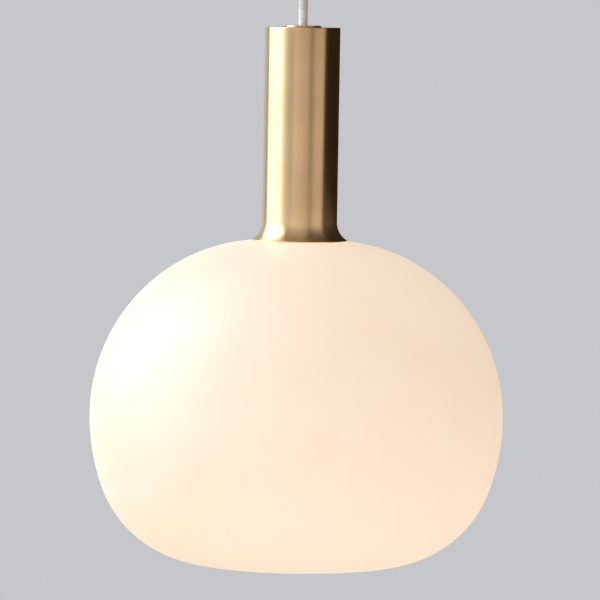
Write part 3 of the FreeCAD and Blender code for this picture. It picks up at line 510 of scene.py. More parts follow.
class Finish(Enum):
    """Every finish of the lamp."""

    BRUSHED_BRASS = Metal("brushed_brass", (0.84, 0.62, 0.37), (0.76, 0.54, 0.3), (0.94, 0.78, 0.54),
                          Grain.TURNED, roughness=0.32, spread=0.05, anisotropy=0.93, line_depth=0.004 * MM)
    TURNED_BRASS = Metal("turned_brass", (0.83, 0.62, 0.32), (0.63, 0.43, 0.2), (0.93, 0.77, 0.5),
                         Grain.TURNED, roughness=0.26, lines=6000.0)
    ZINC_STEEL = Metal("zinc_steel", (0.68, 0.68, 0.67), (0.5, 0.5, 0.5), (0.82, 0.82, 0.8), roughness=0.34,
                       spread=0.2, line_depth=0.01 * MM)
    NICKEL = Metal("nickel", (0.78, 0.76, 0.73), (0.62, 0.6, 0.57), (0.9, 0.88, 0.85), roughness=0.16)
    TIN_CONTACT = Metal("tin_contact", (0.7, 0.7, 0.71), (0.5, 0.5, 0.52), (0.85, 0.85, 0.85), roughness=0.38,
                        spread=0.25, line_depth=0.08 * MM)
    ALUMINIUM = Metal("aluminium", (0.85, 0.86, 0.87), (0.7, 0.71, 0.73), (0.92, 0.92, 0.92), roughness=0.3)
    NYLON = Moulded("nylon", (0.8, 0.79, 0.73), (0.68, 0.66, 0.58), roughness=0.4, subsurface=0.3)
    BLACK_THERMOPLASTIC = Moulded("black_thermoplastic", (0.022, 0.022, 0.023), (0.07, 0.07, 0.07),
                                  roughness=0.42)
    WHITE_PORCELAIN = Moulded("white_porcelain", (0.86, 0.85, 0.81), (0.74, 0.72, 0.66), roughness=0.2,
                              grain=900.0, grain_depth=0.02 * MM, subsurface=0.2, coat=0.8)
    SILICONE = Moulded("silicone", (0.62, 0.61, 0.58), (0.5, 0.49, 0.46), roughness=0.55, subsurface=0.3)
    CORE_BROWN = Moulded("core_brown", (0.16, 0.07, 0.03), (0.22, 0.12, 0.07), roughness=0.34)
    CORE_BLUE = Moulded("core_blue", (0.03, 0.13, 0.42), (0.08, 0.2, 0.48), roughness=0.34)
    CORE_EARTH = StripedCore("core_earth", (0.06, 0.32, 0.08), (0.82, 0.66, 0.05))
    BLACK_VITRITE = Moulded("black_vitrite", (0.012, 0.012, 0.014), (0.04, 0.04, 0.045), roughness=0.1,
                            grain=500.0, grain_depth=0.03 * MM, coat=1.0)
    BULB_WHITE = Moulded("bulb_white", (0.86, 0.86, 0.84), (0.76, 0.76, 0.73), roughness=0.32, grain=1800.0,
                         coat=0.2)
    BULB_OPAL = OpalGlass("bulb_opal", glow=(1.0, 0.84, 0.64), glow_thick=(1.0, 0.8, 0.58), glow_strength=1.6,
                          roughness=0.35)
    LED_YELLOW = Moulded("led_yellow", (0.85, 0.6, 0.08), (0.75, 0.5, 0.05), roughness=0.5)
    OPAL_GLASS = OpalGlass("opal_glass")
    WHITE_TEXTILE = BraidedTextile("white_textile")
    STUDIO_FLOOR = StudioPaper("studio_floor")

    def material(self) -> bpy.types.Material:
        """The finish's material, built the first time it is asked for."""
        made = bpy.data.materials.get(f"{self.value.name}_finish")
        if made is None:
            made = self.value.material()
            made.name = f"{self.value.name}_finish"
        return made


# ---------------------------------------------------------------- turned pieces
@dataclass(frozen=True)
class Ring:
    """One ring of a turned piece.

    Attributes:
        r: Its radius.
        z: Its height.
        edge: How much of a rubbed edge it is, from 0 to 1.
        thread: How much of the thread it carries, from 0 to 1.
        root: 1 where the thread runs out at its root, 0 where it runs out at its crest.
        flute: How much of the piece's flutes it carries, from 0 to 1.
    """

    r: float
    z: float
    edge: float = 0.0
    thread: float = 0.0
    root: float = 0.0
    flute: float = 0.0


@dataclass(frozen=True)
class Thread:
    """A rounded right-handed thread. Pieces with the same pitch are always in step with each other."""

    pitch: float
    depth: float

    def cut(self, angle: np.ndarray, z: np.ndarray) -> np.ndarray:
        """How far below its crest the thread is at each angle and height."""
        wave = 0.5 + 0.5 * np.cos(FULL_TURN * z / self.pitch - angle)
        return self.depth * (1 - wave)


@dataclass(frozen=True)
class Flutes:
    """Round notches, evenly spaced about the axis."""

    count: int
    depth: float
    share: float = 0.45

    def cut(self, angle: np.ndarray) -> np.ndarray:
        """How deep the notches are at each angle."""
        place = np.abs((angle * self.count / FULL_TURN + 0.5) % 1.0 - 0.5) * 2 / self.share
        return self.depth * np.sqrt(np.clip(1 - place ** 2, 0, 1))


def rounded_outline(corners: Sequence[tuple[float, float, float]], step: float = 6 * MM) -> list[Ring]:
    """Closed outline of a turned piece, with its corners rounded.

    Args:
        corners: Radius, height and rounding radius of each corner, in order round the section.
        step: Longest distance between two rings of a straight run.

    Returns:
        The outline's rings. Rings on a rounded corner are marked as edges.
    """
    rings: list[Ring] = []
    count = len(corners)
    for index, (r, z, rounding) in enumerate(corners):
        here = Vector((r, z))
        before = Vector(corners[index - 1][:2]) - here
        after = Vector(corners[(index + 1) % count][:2]) - here
        if rounding <= 0 or before.length < 1e-9 or after.length < 1e-9:
            rings.append(Ring(r, z, 1.0 if rounding < 0 else 0.0))
            continue
        half = before.angle(after) / 2
        reach = min(rounding / math.tan(half), 0.45 * before.length, 0.45 * after.length)
        radius = reach * math.tan(half)
        back, ahead = before.normalized(), after.normalized()
        centre = here + (back + ahead).normalized() * (radius / math.sin(half))
        enter, leave = here + back * reach, here + ahead * reach
        shoulder = min(0.3 * MM, 0.04 * before.length, 0.04 * after.length)
        rings.append(Ring(*(enter + back * shoulder)))
        steps = max(3, math.ceil((math.pi - 2 * half) / math.radians(18)))
        for part in range(steps + 1):
            spoke = (enter - centre).lerp(leave - centre, part / steps).normalized() * radius
            rings.append(Ring(*(centre + spoke), edge=1.0))
        rings.append(Ring(*(leave + ahead * shoulder)))
    return split_long_runs(rings, step)


def split_long_runs(rings: Sequence[Ring], step: float) -> list[Ring]:
    """Adds rings between two that are far apart, round a closed outline.

    Args:
        rings: The outline's rings.
        step: Longest distance that stays.

    Returns:
        The rings with the added ones.
    """
    out: list[Ring] = []
    for ring, following in zip(rings, [*rings[1:], rings[0]]):
        out.append(ring)
        gap = math.hypot(following.r - ring.r, following.z - ring.z)
        parts = max(1, math.ceil(gap / step))
        for part in range(1, parts):
            share = part / parts
            out.append(Ring(ring.r + (following.r - ring.r) * share, ring.z + (following.z - ring.z) * share))
    return out


def with_thread(rings: Sequence[Ring], plain_r: float, high: float, low: float, pitch: float,
                crest_r: float | None = None) -> list[Ring]:
    """Puts a thread on one straight upright run of an outline.

    Args:
        rings: The outline.
        plain_r: The run's radius in the outline.
        high: Upper limit of the run.
        low: Lower limit of the run.
        pitch: The thread's pitch, which sets how close the rings are.
        crest_r: The thread's crest radius where its root is the plain radius, or none where the crest is.

    Returns:
        The outline with close rings on that run, the thread fading in and out at its ends.
    """
    inside = [k for k, ring in enumerate(rings) if abs(ring.r - plain_r) < 1e-7 and low <= ring.z <= high]
    first, last = inside[0], inside[-1]
    start, end = rings[first].z, rings[last].z
    length = abs(end - start)
    count = max(4, math.ceil(length / pitch * 12))
    run = []
    for step in range(count + 1):
        along = length * step / count
        strength = max(0.0, min(1.0, along / (0.7 * pitch), (length - along) / (0.7 * pitch)))
        run.append(Ring(crest_r or plain_r, start + (end - start) * step / count, thread=strength,
                        root=1.0 if crest_r else 0.0))
    return [*rings[:first], *run, *rings[last + 1:]]


def arc_rings(centre: tuple[float, float], radius: float, first: float, last: float,
              step_deg: float = 6.0, edge: float = 0.0) -> list[Ring]:
    """Rings along an arc of the section, its angles in degrees from the radial direction."""
    count = max(2, math.ceil(abs(last - first) / step_deg))
    angles = [math.radians(first + (last - first) * k / count) for k in range(count + 1)]
    return [Ring(centre[0] + radius * math.cos(a), centre[1] + radius * math.sin(a), edge) for a in angles]


def finish_mesh(mesh: bpy.types.Mesh, sharp_deg: float = 35.0) -> None:
    """Merges doubles, points the faces outwards and shades smoothly up to an angle."""
    work = bmesh.new()
    work.from_mesh(mesh)
    bmesh.ops.remove_doubles(work, verts=work.verts, dist=1e-7)
    bmesh.ops.dissolve_degenerate(work, edges=work.edges, dist=1e-8)
    if work.calc_volume(signed=True) < 0:
        bmesh.ops.reverse_faces(work, faces=work.faces)
    work.to_mesh(mesh)
    work.free()
    mesh.polygons.foreach_set("use_smooth", np.ones(len(mesh.polygons), dtype=bool))
    mesh.set_sharp_from_angle(angle=math.radians(sharp_deg))
    mesh.update()


def link_object(name: str, data: bpy.types.ID) -> bpy.types.Object:
    """Makes an object for a mesh, curve, light or camera and puts it in the scene."""
    piece = bpy.data.objects.new(name, data)
    bpy.context.scene.collection.objects.link(piece)
    return piece


def turned_piece(name: str, rings: Sequence[Ring], segments: int = 96, thread: Thread | None = None,
                 sharp_deg: float = 35.0, flutes: Flutes | None = None) -> bpy.types.Object:
    """Solid of revolution about the lamp's axis from a closed outline.

    Args:
        name: The piece's name.
        rings: The closed outline.
        segments: Faces round the piece.
        thread: The thread that rings marked as threaded carry.
        sharp_deg: Edges that turn more than this stay crisp.
        flutes: The flutes that rings marked as fluted carry.

    Returns:
        The piece, with a UV map round and along it and an edge attribute.
    """
    radii = np.array([ring.r for ring in rings])
    heights = np.array([ring.z for ring in rings])
    edges = np.array([ring.edge for ring in rings])
    threaded = np.array([ring.thread for ring in rings])[:, None]
    rooted = np.array([ring.root for ring in rings])[:, None]
    angles = np.arange(segments) * FULL_TURN / segments
    radius = np.repeat(radii[:, None], segments, 1)
    if thread is not None:
        radius = radius - thread.cut(angles[None, :], heights[:, None]) * threaded
        radius = radius - thread.depth * rooted * (1 - threaded)
    if flutes is not None:
        radius = radius - flutes.cut(angles)[None, :] * np.array([ring.flute for ring in rings])[:, None]
    grid = np.stack([radius * np.cos(angles), radius * np.sin(angles),
                     np.repeat(heights[:, None], segments, 1)], axis=-1)
    rows, columns = np.meshgrid(np.arange(len(rings)), np.arange(segments), indexing="ij")
    next_row, next_column = (rows + 1) % len(rings), (columns + 1) % segments
    quads = np.stack([rows * segments + columns, rows * segments + next_column,
                      next_row * segments + next_column, next_row * segments + columns], axis=-1)
    mesh = bpy.data.meshes.new(name)
    mesh.from_pydata(grid.reshape(-1, 3).tolist(), [], quads.reshape(-1, 4).tolist())
    mesh.attributes.new("edge", "FLOAT", "POINT").data.foreach_set(
        "value", np.repeat(edges, segments).astype(np.float32))
    gaps = np.hypot(np.diff(radii, append=radii[0]), np.diff(heights, append=heights[0]))
    length = np.concatenate([[0.0], np.cumsum(gaps)])
    u = np.stack([columns, columns + 1, columns + 1, columns], axis=-1) / segments
    v = length[np.stack([rows, rows, rows + 1, rows + 1], axis=-1)]
    mesh.uv_layers.new(name="around").data.foreach_set("uv", np.stack([u, v], axis=-1).ravel())
    finish_mesh(mesh, sharp_deg)
    return link_object(name, mesh)


def dress(piece: bpy.types.Object, finish: Finish, body: str, *nodes: str) -> bpy.types.Object:
    """Gives a piece its finish and its body, and says which CAD nodes it stands for.

    Args:
        piece: The finished piece.
        finish: Its finish.
        body: The body that it rides on.
        nodes: The CAD nodes that it replaces.

    Returns:
        The piece.
    """
    piece.data.materials.clear()
    piece.data.materials.append(finish.material())
    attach(piece, body)
    if nodes:
        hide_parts(*nodes)
    log.info("%s: %d faces on %s", piece.name, len(piece.data.polygons), body)
    return piece


# ---------------------------------------------------------------- geometry recipes
class Recipe:
    """A Geometry Nodes tree with named inputs, used once on a source and turned into a plain mesh."""

    def __init__(self, name: str, inputs: dict[str, tuple[str, object]]) -> None:
        """Makes the tree and its sockets.

        Args:
            name: The tree's name.
            inputs: Input name to socket kind, such as Float, and default value.
        """
        self.tree = bpy.data.node_groups.new(name, "GeometryNodeTree")
        self.tree.interface.new_socket("Geometry", in_out="INPUT", socket_type="NodeSocketGeometry")
        self.sockets: dict[str, str] = {}
        for label, (kind, value) in inputs.items():
            socket = self.tree.interface.new_socket(label, in_out="INPUT", socket_type=f"NodeSocket{kind}")
            if value is not None:
                socket.default_value = value
            self.sockets[label] = socket.identifier
        self.tree.interface.new_socket("Geometry", in_out="OUTPUT", socket_type="NodeSocketGeometry")
        self.given = self.tree.nodes.new("NodeGroupInput").outputs
        self.output = self.tree.nodes.new("NodeGroupOutput")

    def add(self, kind: str, inputs: dict[object, NodeInput] | None = None,
            **settings: object) -> bpy.types.Node:
        """Adds a node to the tree."""
        return add_node(self.tree, f"GeometryNode{kind}", inputs, **settings)

    def calc(self, operation: str, *values: NodeInput) -> bpy.types.NodeSocket:
        """Adds a Math node and returns its result."""
        return math_node(self.tree, operation, *values)

    def vector(self, x: NodeInput = 0.0, y: NodeInput = 0.0, z: NodeInput = 0.0) -> bpy.types.NodeSocket:
        """Adds a Combine XYZ node and returns its vector."""
        return add_node(self.tree, "ShaderNodeCombineXYZ", {"X": x, "Y": y, "Z": z}).outputs[0]

    def sweep(self, curve: bpy.types.NodeSocket, section: bpy.types.NodeSocket) -> bpy.types.NodeSocket:
        """Sweeps a section along a curve and closes the ends."""
        inputs = {"Curve": curve, "Profile Curve": section, "Fill Caps": True}
        return self.add("CurveToMesh", inputs).outputs[0]

    def store(self, curve: bpy.types.NodeSocket, name: str,
              value: bpy.types.NodeSocket) -> bpy.types.NodeSocket:
        """Stores a float on each point of a curve."""
        inputs = {"Geometry": curve, "Name": name, "Value": value}
        return self.add("StoreNamedAttribute", inputs, data_type="FLOAT", domain="POINT").outputs[0]

    def finish(self, geometry: bpy.types.NodeSocket) -> "Recipe":
        """Ends the tree in Realize Instances, smooth shading and Set Material."""
        real = self.add("RealizeInstances", {"Geometry": geometry})
        smooth = self.add("SetShadeSmooth", {"Geometry": real.outputs[0]})
        dressed = self.add("SetMaterial", {"Geometry": smooth.outputs[0], "Material": self.given["Material"]})
        self.tree.links.new(dressed.outputs[0], self.output.inputs[0])
        return self

    def make(self, name: str, source: bpy.types.Mesh | None = None, sharp_deg: float = 50.0,
             **values: object) -> bpy.types.Object:
        """Runs the tree on a source and returns a plain mesh object.

        Args:
            name: The new piece's name.
            source: The mesh that goes in, or none where the tree needs none.
            sharp_deg: Edges that turn more than this stay crisp.
            values: The tree's inputs, with spaces in their names written as underscores.

        Returns:
            The piece, with no modifier left on it.
        """
        carrier = link_object(f"{name}_source", source or bpy.data.meshes.new(f"{name}_source"))
        modifier = carrier.modifiers.new("recipe", "NODES")
        modifier.node_group = self.tree
        for label, value in values.items():
            modifier[self.sockets[label.replace("_", " ")]] = value
        graph = bpy.context.evaluated_depsgraph_get()
        graph.update()
        mesh = bpy.data.meshes.new_from_object(
            carrier.evaluated_get(graph), preserve_all_data_layers=True, depsgraph=graph)
        bpy.data.objects.remove(carrier)
        mesh.name = name
        mesh.set_sharp_from_angle(angle=math.radians(sharp_deg))
        return link_object(name, mesh)


def braid_recipe() -> Recipe:
    """Strands winding both ways round a path, each over one and under the next, on a plain core."""
    recipe = Recipe("braid", {
        "Strands": ("Int", 12), "Radius": ("Float", 2.6 * MM), "Lay": ("Float", 16 * MM),
        "Width": ("Float", 1.0 * MM), "Thickness": ("Float", 0.36 * MM), "Relief": ("Float", 0.14 * MM),
        "Start": ("Float", 0.0), "Step": ("Float", 0.2 * MM), "Material": ("Material", None),
    })
    given = recipe.given
    line = recipe.add("MeshToCurve", {"Mesh": given["Geometry"]}).outputs[0]
    even = recipe.add("ResampleCurve", {"Curve": line, "Length": given["Step"]}, mode="LENGTH").outputs[0]
    both = recipe.calc("MULTIPLY", given["Strands"], 2.0)
    copies = recipe.add("DuplicateElements", {"Geometry": even, "Amount": both}, domain="SPLINE")
    index = copies.outputs["Duplicate Index"]
    family = recipe.calc("MODULO", index, 2.0)
    way = recipe.calc("MULTIPLY_ADD", family, -2.0, 1.0)
    lane = recipe.calc("FLOOR", recipe.calc("MULTIPLY", index, 0.5))
    along = recipe.calc("ADD", recipe.add("SplineParameter").outputs["Length"], given["Start"])
    turns = recipe.calc("DIVIDE", along, given["Lay"])
    share = recipe.calc("DIVIDE", lane, given["Strands"])
    angle = recipe.calc("MULTIPLY", recipe.calc("MULTIPLY_ADD", turns, way, share), FULL_TURN)
    crossing = recipe.calc("MULTIPLY", recipe.calc("MULTIPLY", turns, given["Strands"]), FULL_TURN)
    over = recipe.calc("MULTIPLY", recipe.calc("COSINE", crossing), way)
    lift = recipe.calc("MULTIPLY_ADD", over, given["Relief"], given["Radius"])
    shift = recipe.vector(recipe.calc("MULTIPLY", recipe.calc("COSINE", angle), lift),
                          recipe.calc("MULTIPLY", recipe.calc("SINE", angle), lift))
    wound = recipe.add("SetPosition", {"Geometry": copies.outputs["Geometry"], "Offset": shift}).outputs[0]
    wound = recipe.add("SetCurveNormal", {"Curve": wound}, mode="Z_UP").outputs[0]
    # height: how high the strand lies here; the textile paints shade where it is low.
    level = recipe.calc("MULTIPLY_ADD", over, 0.5, 0.5)
    for name, value in (("along", along), ("height", level)):
        wound = recipe.store(wound, name, value)
    section = recipe.add("CurvePrimitiveCircle", {"Resolution": 6, "Radius": 0.5}).outputs[0]
    place = add_node(recipe.tree, "ShaderNodeSeparateXYZ", {0: recipe.add("InputPosition").outputs[0]})
    section = recipe.store(section, "across", place.outputs["Y"])
    flat = recipe.add("Transform", {
        "Geometry": section, "Scale": recipe.vector(given["Thickness"], given["Width"], 1.0)}).outputs[0]
    strands = recipe.sweep(wound, flat)
    inner = recipe.calc("SUBTRACT", given["Radius"], given["Relief"])
    core_line = recipe.add("ResampleCurve", {"Curve": line, "Length": 4 * MM}, mode="LENGTH").outputs[0]
    core_section = recipe.add("CurvePrimitiveCircle", {"Resolution": 32, "Radius": inner}).outputs[0]
    core = recipe.sweep(core_line, core_section)
    joined = recipe.add("JoinGeometry")
    recipe.tree.links.new(core, joined.inputs[0])
    recipe.tree.links.new(strands, joined.inputs[0])
    return recipe.finish(joined.outputs[0])


def thread_ridge_recipe() -> Recipe:
    """The ridge of a thread: a small round section that climbs a right-handed helix."""
    recipe = Recipe("thread_ridge", {
        "Radius": ("Float", 4.7 * MM), "Pitch": ("Float", 1 * MM), "Base": ("Float", 0.0),
        "Turns": ("Float", 10.0), "Section": ("Float", 0.32 * MM), "Material": ("Material", None),
    })
    given = recipe.given
    height = recipe.calc("MULTIPLY", given["Turns"], given["Pitch"])
    helix = recipe.add("CurveSpiral", {
        "Resolution": 30, "Rotations": given["Turns"], "Start Radius": given["Radius"],
        "End Radius": given["Radius"], "Height": height, "Reverse": True}).outputs[0]
    section = recipe.add("CurvePrimitiveCircle", {"Resolution": 5, "Radius": given["Section"]}).outputs[0]
    ridge = recipe.sweep(helix, section)
    moved = recipe.add("Transform", {"Geometry": ridge, "Translation": recipe.vector(z=given["Base"])})
    return recipe.finish(moved.outputs[0])


def ring_of_recipe() -> Recipe:
    """Copies of a source mesh, evenly spaced round the lamp's axis."""
    recipe = Recipe("ring_of", {
        "Count": ("Int", 12), "Radius": ("Float", 10 * MM), "Level": ("Float", 0.0),
        "Material": ("Material", None),
    })
    given = recipe.given
    circle = recipe.add("MeshCircle", {"Vertices": given["Count"], "Radius": given["Radius"]}).outputs[0]
    raised = recipe.add("Transform", {"Geometry": circle, "Translation": recipe.vector(z=given["Level"])})
    share = recipe.calc("DIVIDE", recipe.add("InputIndex").outputs[0], given["Count"])
    turn = recipe.vector(z=recipe.calc("MULTIPLY", share, FULL_TURN))
    copies = recipe.add("InstanceOnPoints", {
        "Points": raised.outputs[0], "Instance": given["Geometry"], "Rotation": turn})
    return recipe.finish(copies.outputs[0])


class Recipes:
    """The Geometry Nodes trees, each built once."""

    braid: Recipe
    thread_ridge: Recipe
    ring_of: Recipe

    @classmethod
    def build(cls) -> None:
        """Builds every recipe."""
        cls.braid = braid_recipe()
        cls.thread_ridge = thread_ridge_recipe()
        cls.ring_of = ring_of_recipe()


# ---------------------------------------------------------------- pieces taken from the CAD
def softened(node: str, finish: Finish, body: str, bevel: float = 0.2 * MM,
             sharp_deg: float = 35.0) -> bpy.types.Object:
    """Stands a bevelled copy in a CAD node's place, so that its edges catch the light.

    Args:
        node: The CAD node.
        finish: The copy's finish.
        body: The body that it rides on.
        bevel: Width of its broken edges, or 0 for none.
        sharp_deg: Edges that turn more than this are bevelled.

    Returns:
        The copy.
    """
    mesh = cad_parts[node].data.copy()
    mesh.name = f"{node}_body"
    work = bmesh.new()
    work.from_mesh(mesh)
    bmesh.ops.remove_doubles(work, verts=work.verts, dist=1e-6)
    bmesh.ops.dissolve_limit(work, angle_limit=math.radians(1.0), verts=work.verts, edges=work.edges)
    if bevel:
        crisp = [edge for edge in work.edges
                 if len(edge.link_faces) == 2 and edge.calc_face_angle(0.0) > math.radians(sharp_deg)]
        made = bmesh.ops.bevel(work, geom=crisp, offset=bevel, segments=2, profile=0.7, affect="EDGES",
                               clamp_overlap=True)
        layer = work.verts.layers.float.new("edge")
        for face in made["faces"]:
            for vertex in face.verts:
                vertex[layer] = 1.0
    work.to_mesh(mesh)
    work.free()
    mesh.polygons.foreach_set("use_smooth", np.ones(len(mesh.polygons), dtype=bool))
    mesh.set_sharp_from_angle(angle=math.radians(sharp_deg))
    piece = link_object(f"{node}_body", mesh)
    return dress(piece, finish, body, node)


def soften_all(body: str, *pieces: tuple[str, Finish, float]) -> None:
    """Stands bevelled copies in the place of several CAD nodes of one body.

    Args:
        body: The body that they ride on.
        pieces: The CAD node, the finish and the width of the broken edges of each.
    """
    for node, finish, bevel in pieces:
        softened(node, finish, body, bevel)


def soften_cores(body: str, stem: str) -> None:
    """Stands smooth copies in the place of the three cores whose names begin with a stem."""
    cores = (("live", Finish.CORE_BROWN), ("neutral", Finish.CORE_BLUE), ("earth", Finish.CORE_EARTH))
    for core, finish in cores:
        softened(f"{stem}_{core}", finish, body, 0.0, 50.0)


# ---------------------------------------------------------------- ceiling group
@dataclass
class CeilingGroup:
    """The canopy with its bracket, hollow thread, terminal block and cord collar."""

    body: str = "ceiling"
    sheet: float = 1.0 * MM
    cup_corner: float = 4.0 * MM
    rib: tuple[float, float] = (0.5 * MM, 0.45 * MM)
    rib_count: int = 72
    thread_pitch: float = 1.0 * MM

    def build(self) -> None:
        """Builds every piece that stays on the ceiling."""
        self.canopy()
        self.collar()
        self.nipple()
        self.steel()
        self.terminals()
        self.wires()

    def canopy(self) -> None:
        """Spun cup with a soft lower corner and a turned-in rim."""
        low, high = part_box("canopy_cup")
        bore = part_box("canopy_nipple")[1].x + 0.2 * MM
        inner = high.x - self.sheet
        corners = [
            (bore, low.z, 0.2 * MM), (high.x, low.z, self.cup_corner), (high.x, high.z, 0.45 * MM),
            (inner, high.z, 0.45 * MM), (inner, low.z + self.sheet, self.cup_corner - self.sheet),
            (bore, low.z + self.sheet, 0.2 * MM),
        ]
        cup = turned_piece("canopy_cup_spun", rounded_outline(corners), 192)
        dress(cup, Finish.BRUSHED_BRASS, self.body, "canopy_cup")

    def collar(self) -> None:
        """Turned collar with a grip band of fine straight ribs, its nylon ring and its grip screw."""
        low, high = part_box("canopy_collar")
        grip_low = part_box("canopy_grip_ring")[0]
        thread_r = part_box("canopy_nipple")[1].x + 0.05 * MM
        cord_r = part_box("cord_in_canopy")[1].x + 0.3 * MM
        band_low, band_high = low.z + 5.0 * MM, high.z - 1.5 * MM
        groove = high.x - 0.35 * MM
        corners = [
            (cord_r, low.z, 0.4 * MM), (high.x, low.z, 1.2 * MM), (high.x, band_low - 0.8 * MM, 0.2 * MM),
            (groove, band_low - 0.5 * MM, 0.1 * MM), (groove, band_high + 0.3 * MM, 0.1 * MM),
            (high.x, band_high + 0.6 * MM, 0.2 * MM), (high.x, high.z, 0.25 * MM),
            (thread_r, high.z, 0.2 * MM), (thread_r, grip_low.z, 0.05 * MM), (cord_r, grip_low.z, 0.2 * MM),
        ]
        dress(turned_piece("canopy_collar_turned", rounded_outline(corners), 128), Finish.BRUSHED_BRASS,
              self.body, "canopy_collar")
        width, depth = self.rib
        rib = bar_mesh("collar_rib_seed", depth, width, band_high - band_low)
        ribs = Recipes.ring_of.make(
            "canopy_collar_ribs", rib, Count=self.rib_count, Radius=groove, Level=(band_low + band_high) / 2,
            Material=Finish.BRUSHED_BRASS.material())
        dress(ribs, Finish.BRUSHED_BRASS, self.body)
        softened("canopy_grip_ring", Finish.NYLON, self.body)
        softened("canopy_grip_screw", Finish.NYLON, self.body, 0.1 * MM)

    def nipple(self) -> None:
        """Hollow thread through bracket, canopy and collar."""
        hollow_thread("canopy_nipple", self.body, self.thread_pitch)

    def steel(self) -> None:
        """Bent bracket, nuts, washer and screws."""
        steel = Finish.ZINC_STEEL
        soften_all(
            self.body, ("ceiling_bracket", steel, 0.3 * MM), ("nipple_nuts", steel, 0.12 * MM),
            ("nipple_toothed_washer", steel, 0.1 * MM), ("block_fixing_screw", steel, 0.12 * MM),
            ("bracket_earth_screw", Finish.TURNED_BRASS, 0.12 * MM),
        )

    def terminals(self) -> None:
        """Terminal block with its brass inserts and screws."""
        soften_all(
            self.body, ("terminal_block", Finish.NYLON, 0.25 * MM),
            ("block_inserts", Finish.TURNED_BRASS, 0.08 * MM),
            ("block_terminal_screws", Finish.ZINC_STEEL, 0.08 * MM),
        )

    def wires(self) -> None:
        """The flex's three cores on their way to the block."""
        soften_cores(self.body, "canopy_wire")


def bar_mesh(name: str, depth: float, width: float, height: float) -> bpy.types.Mesh:
    """Small upright bar with a rounded outer side, centred on the origin.

    Args:
        name: The mesh's name.
        depth: Its size along X.
        width: Its size along Y.
        height: Its size along Z.

    Returns:
        The mesh.
    """
    half = width / 2
    section = [(-depth, -half), (depth * 0.3, -half * 0.8), (depth * 0.5, 0.0), (depth * 0.3, half * 0.8),
               (-depth, half)]
    tips = (-height / 2, -height / 2 + width * 0.6, height / 2 - width * 0.6, height / 2)
    shrink = (0.4, 1.0, 1.0, 0.4)
    points = [(x if x < 0 else x * scale, y, z) for z, scale in zip(tips, shrink) for x, y in section]
    count = len(section)
    faces = [(row * count + k, row * count + (k + 1) % count, (row + 1) * count + (k + 1) % count,
              (row + 1) * count + k) for row in range(len(tips) - 1) for k in range(count)]
    faces.append(tuple(reversed(range(count))))
    faces.append(tuple(range(count * (len(tips) - 1), count * len(tips))))
    mesh = bpy.data.meshes.new(name)
    mesh.from_pydata(points, [], faces)
    finish_mesh(mesh, 40.0)
    return mesh


def hollow_thread(node: str, body: str, pitch: float) -> None:
    """Threaded steel pipe in a CAD node's place: a turned core with a helical ridge on it.

    Args:
        node: The CAD node.
        body: The body that it rides on.
        pitch: The thread's pitch.
    """
    low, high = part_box(node)
    depth = 0.32 * MM
    bore = high.x - 1.4 * MM
    root = high.x - 2 * depth
    corners = [(bore, low.z, 0.2 * MM), (root, low.z, 0.3 * MM), (root, high.z, 0.3 * MM),
               (bore, high.z, 0.2 * MM)]
    pipe = turned_piece(f"{node}_pipe", rounded_outline(corners), 64)
    dress(pipe, Finish.ZINC_STEEL, body, node)
    turns = (high.z - low.z) / pitch - 1.2
    ridge = Recipes.thread_ridge.make(
        f"{node}_thread", Radius=high.x - depth, Pitch=pitch, Base=low.z + 0.6 * pitch, Turns=turns,
        Section=depth, Material=Finish.ZINC_STEEL.material())
    dress(ridge, Finish.ZINC_STEEL, body)


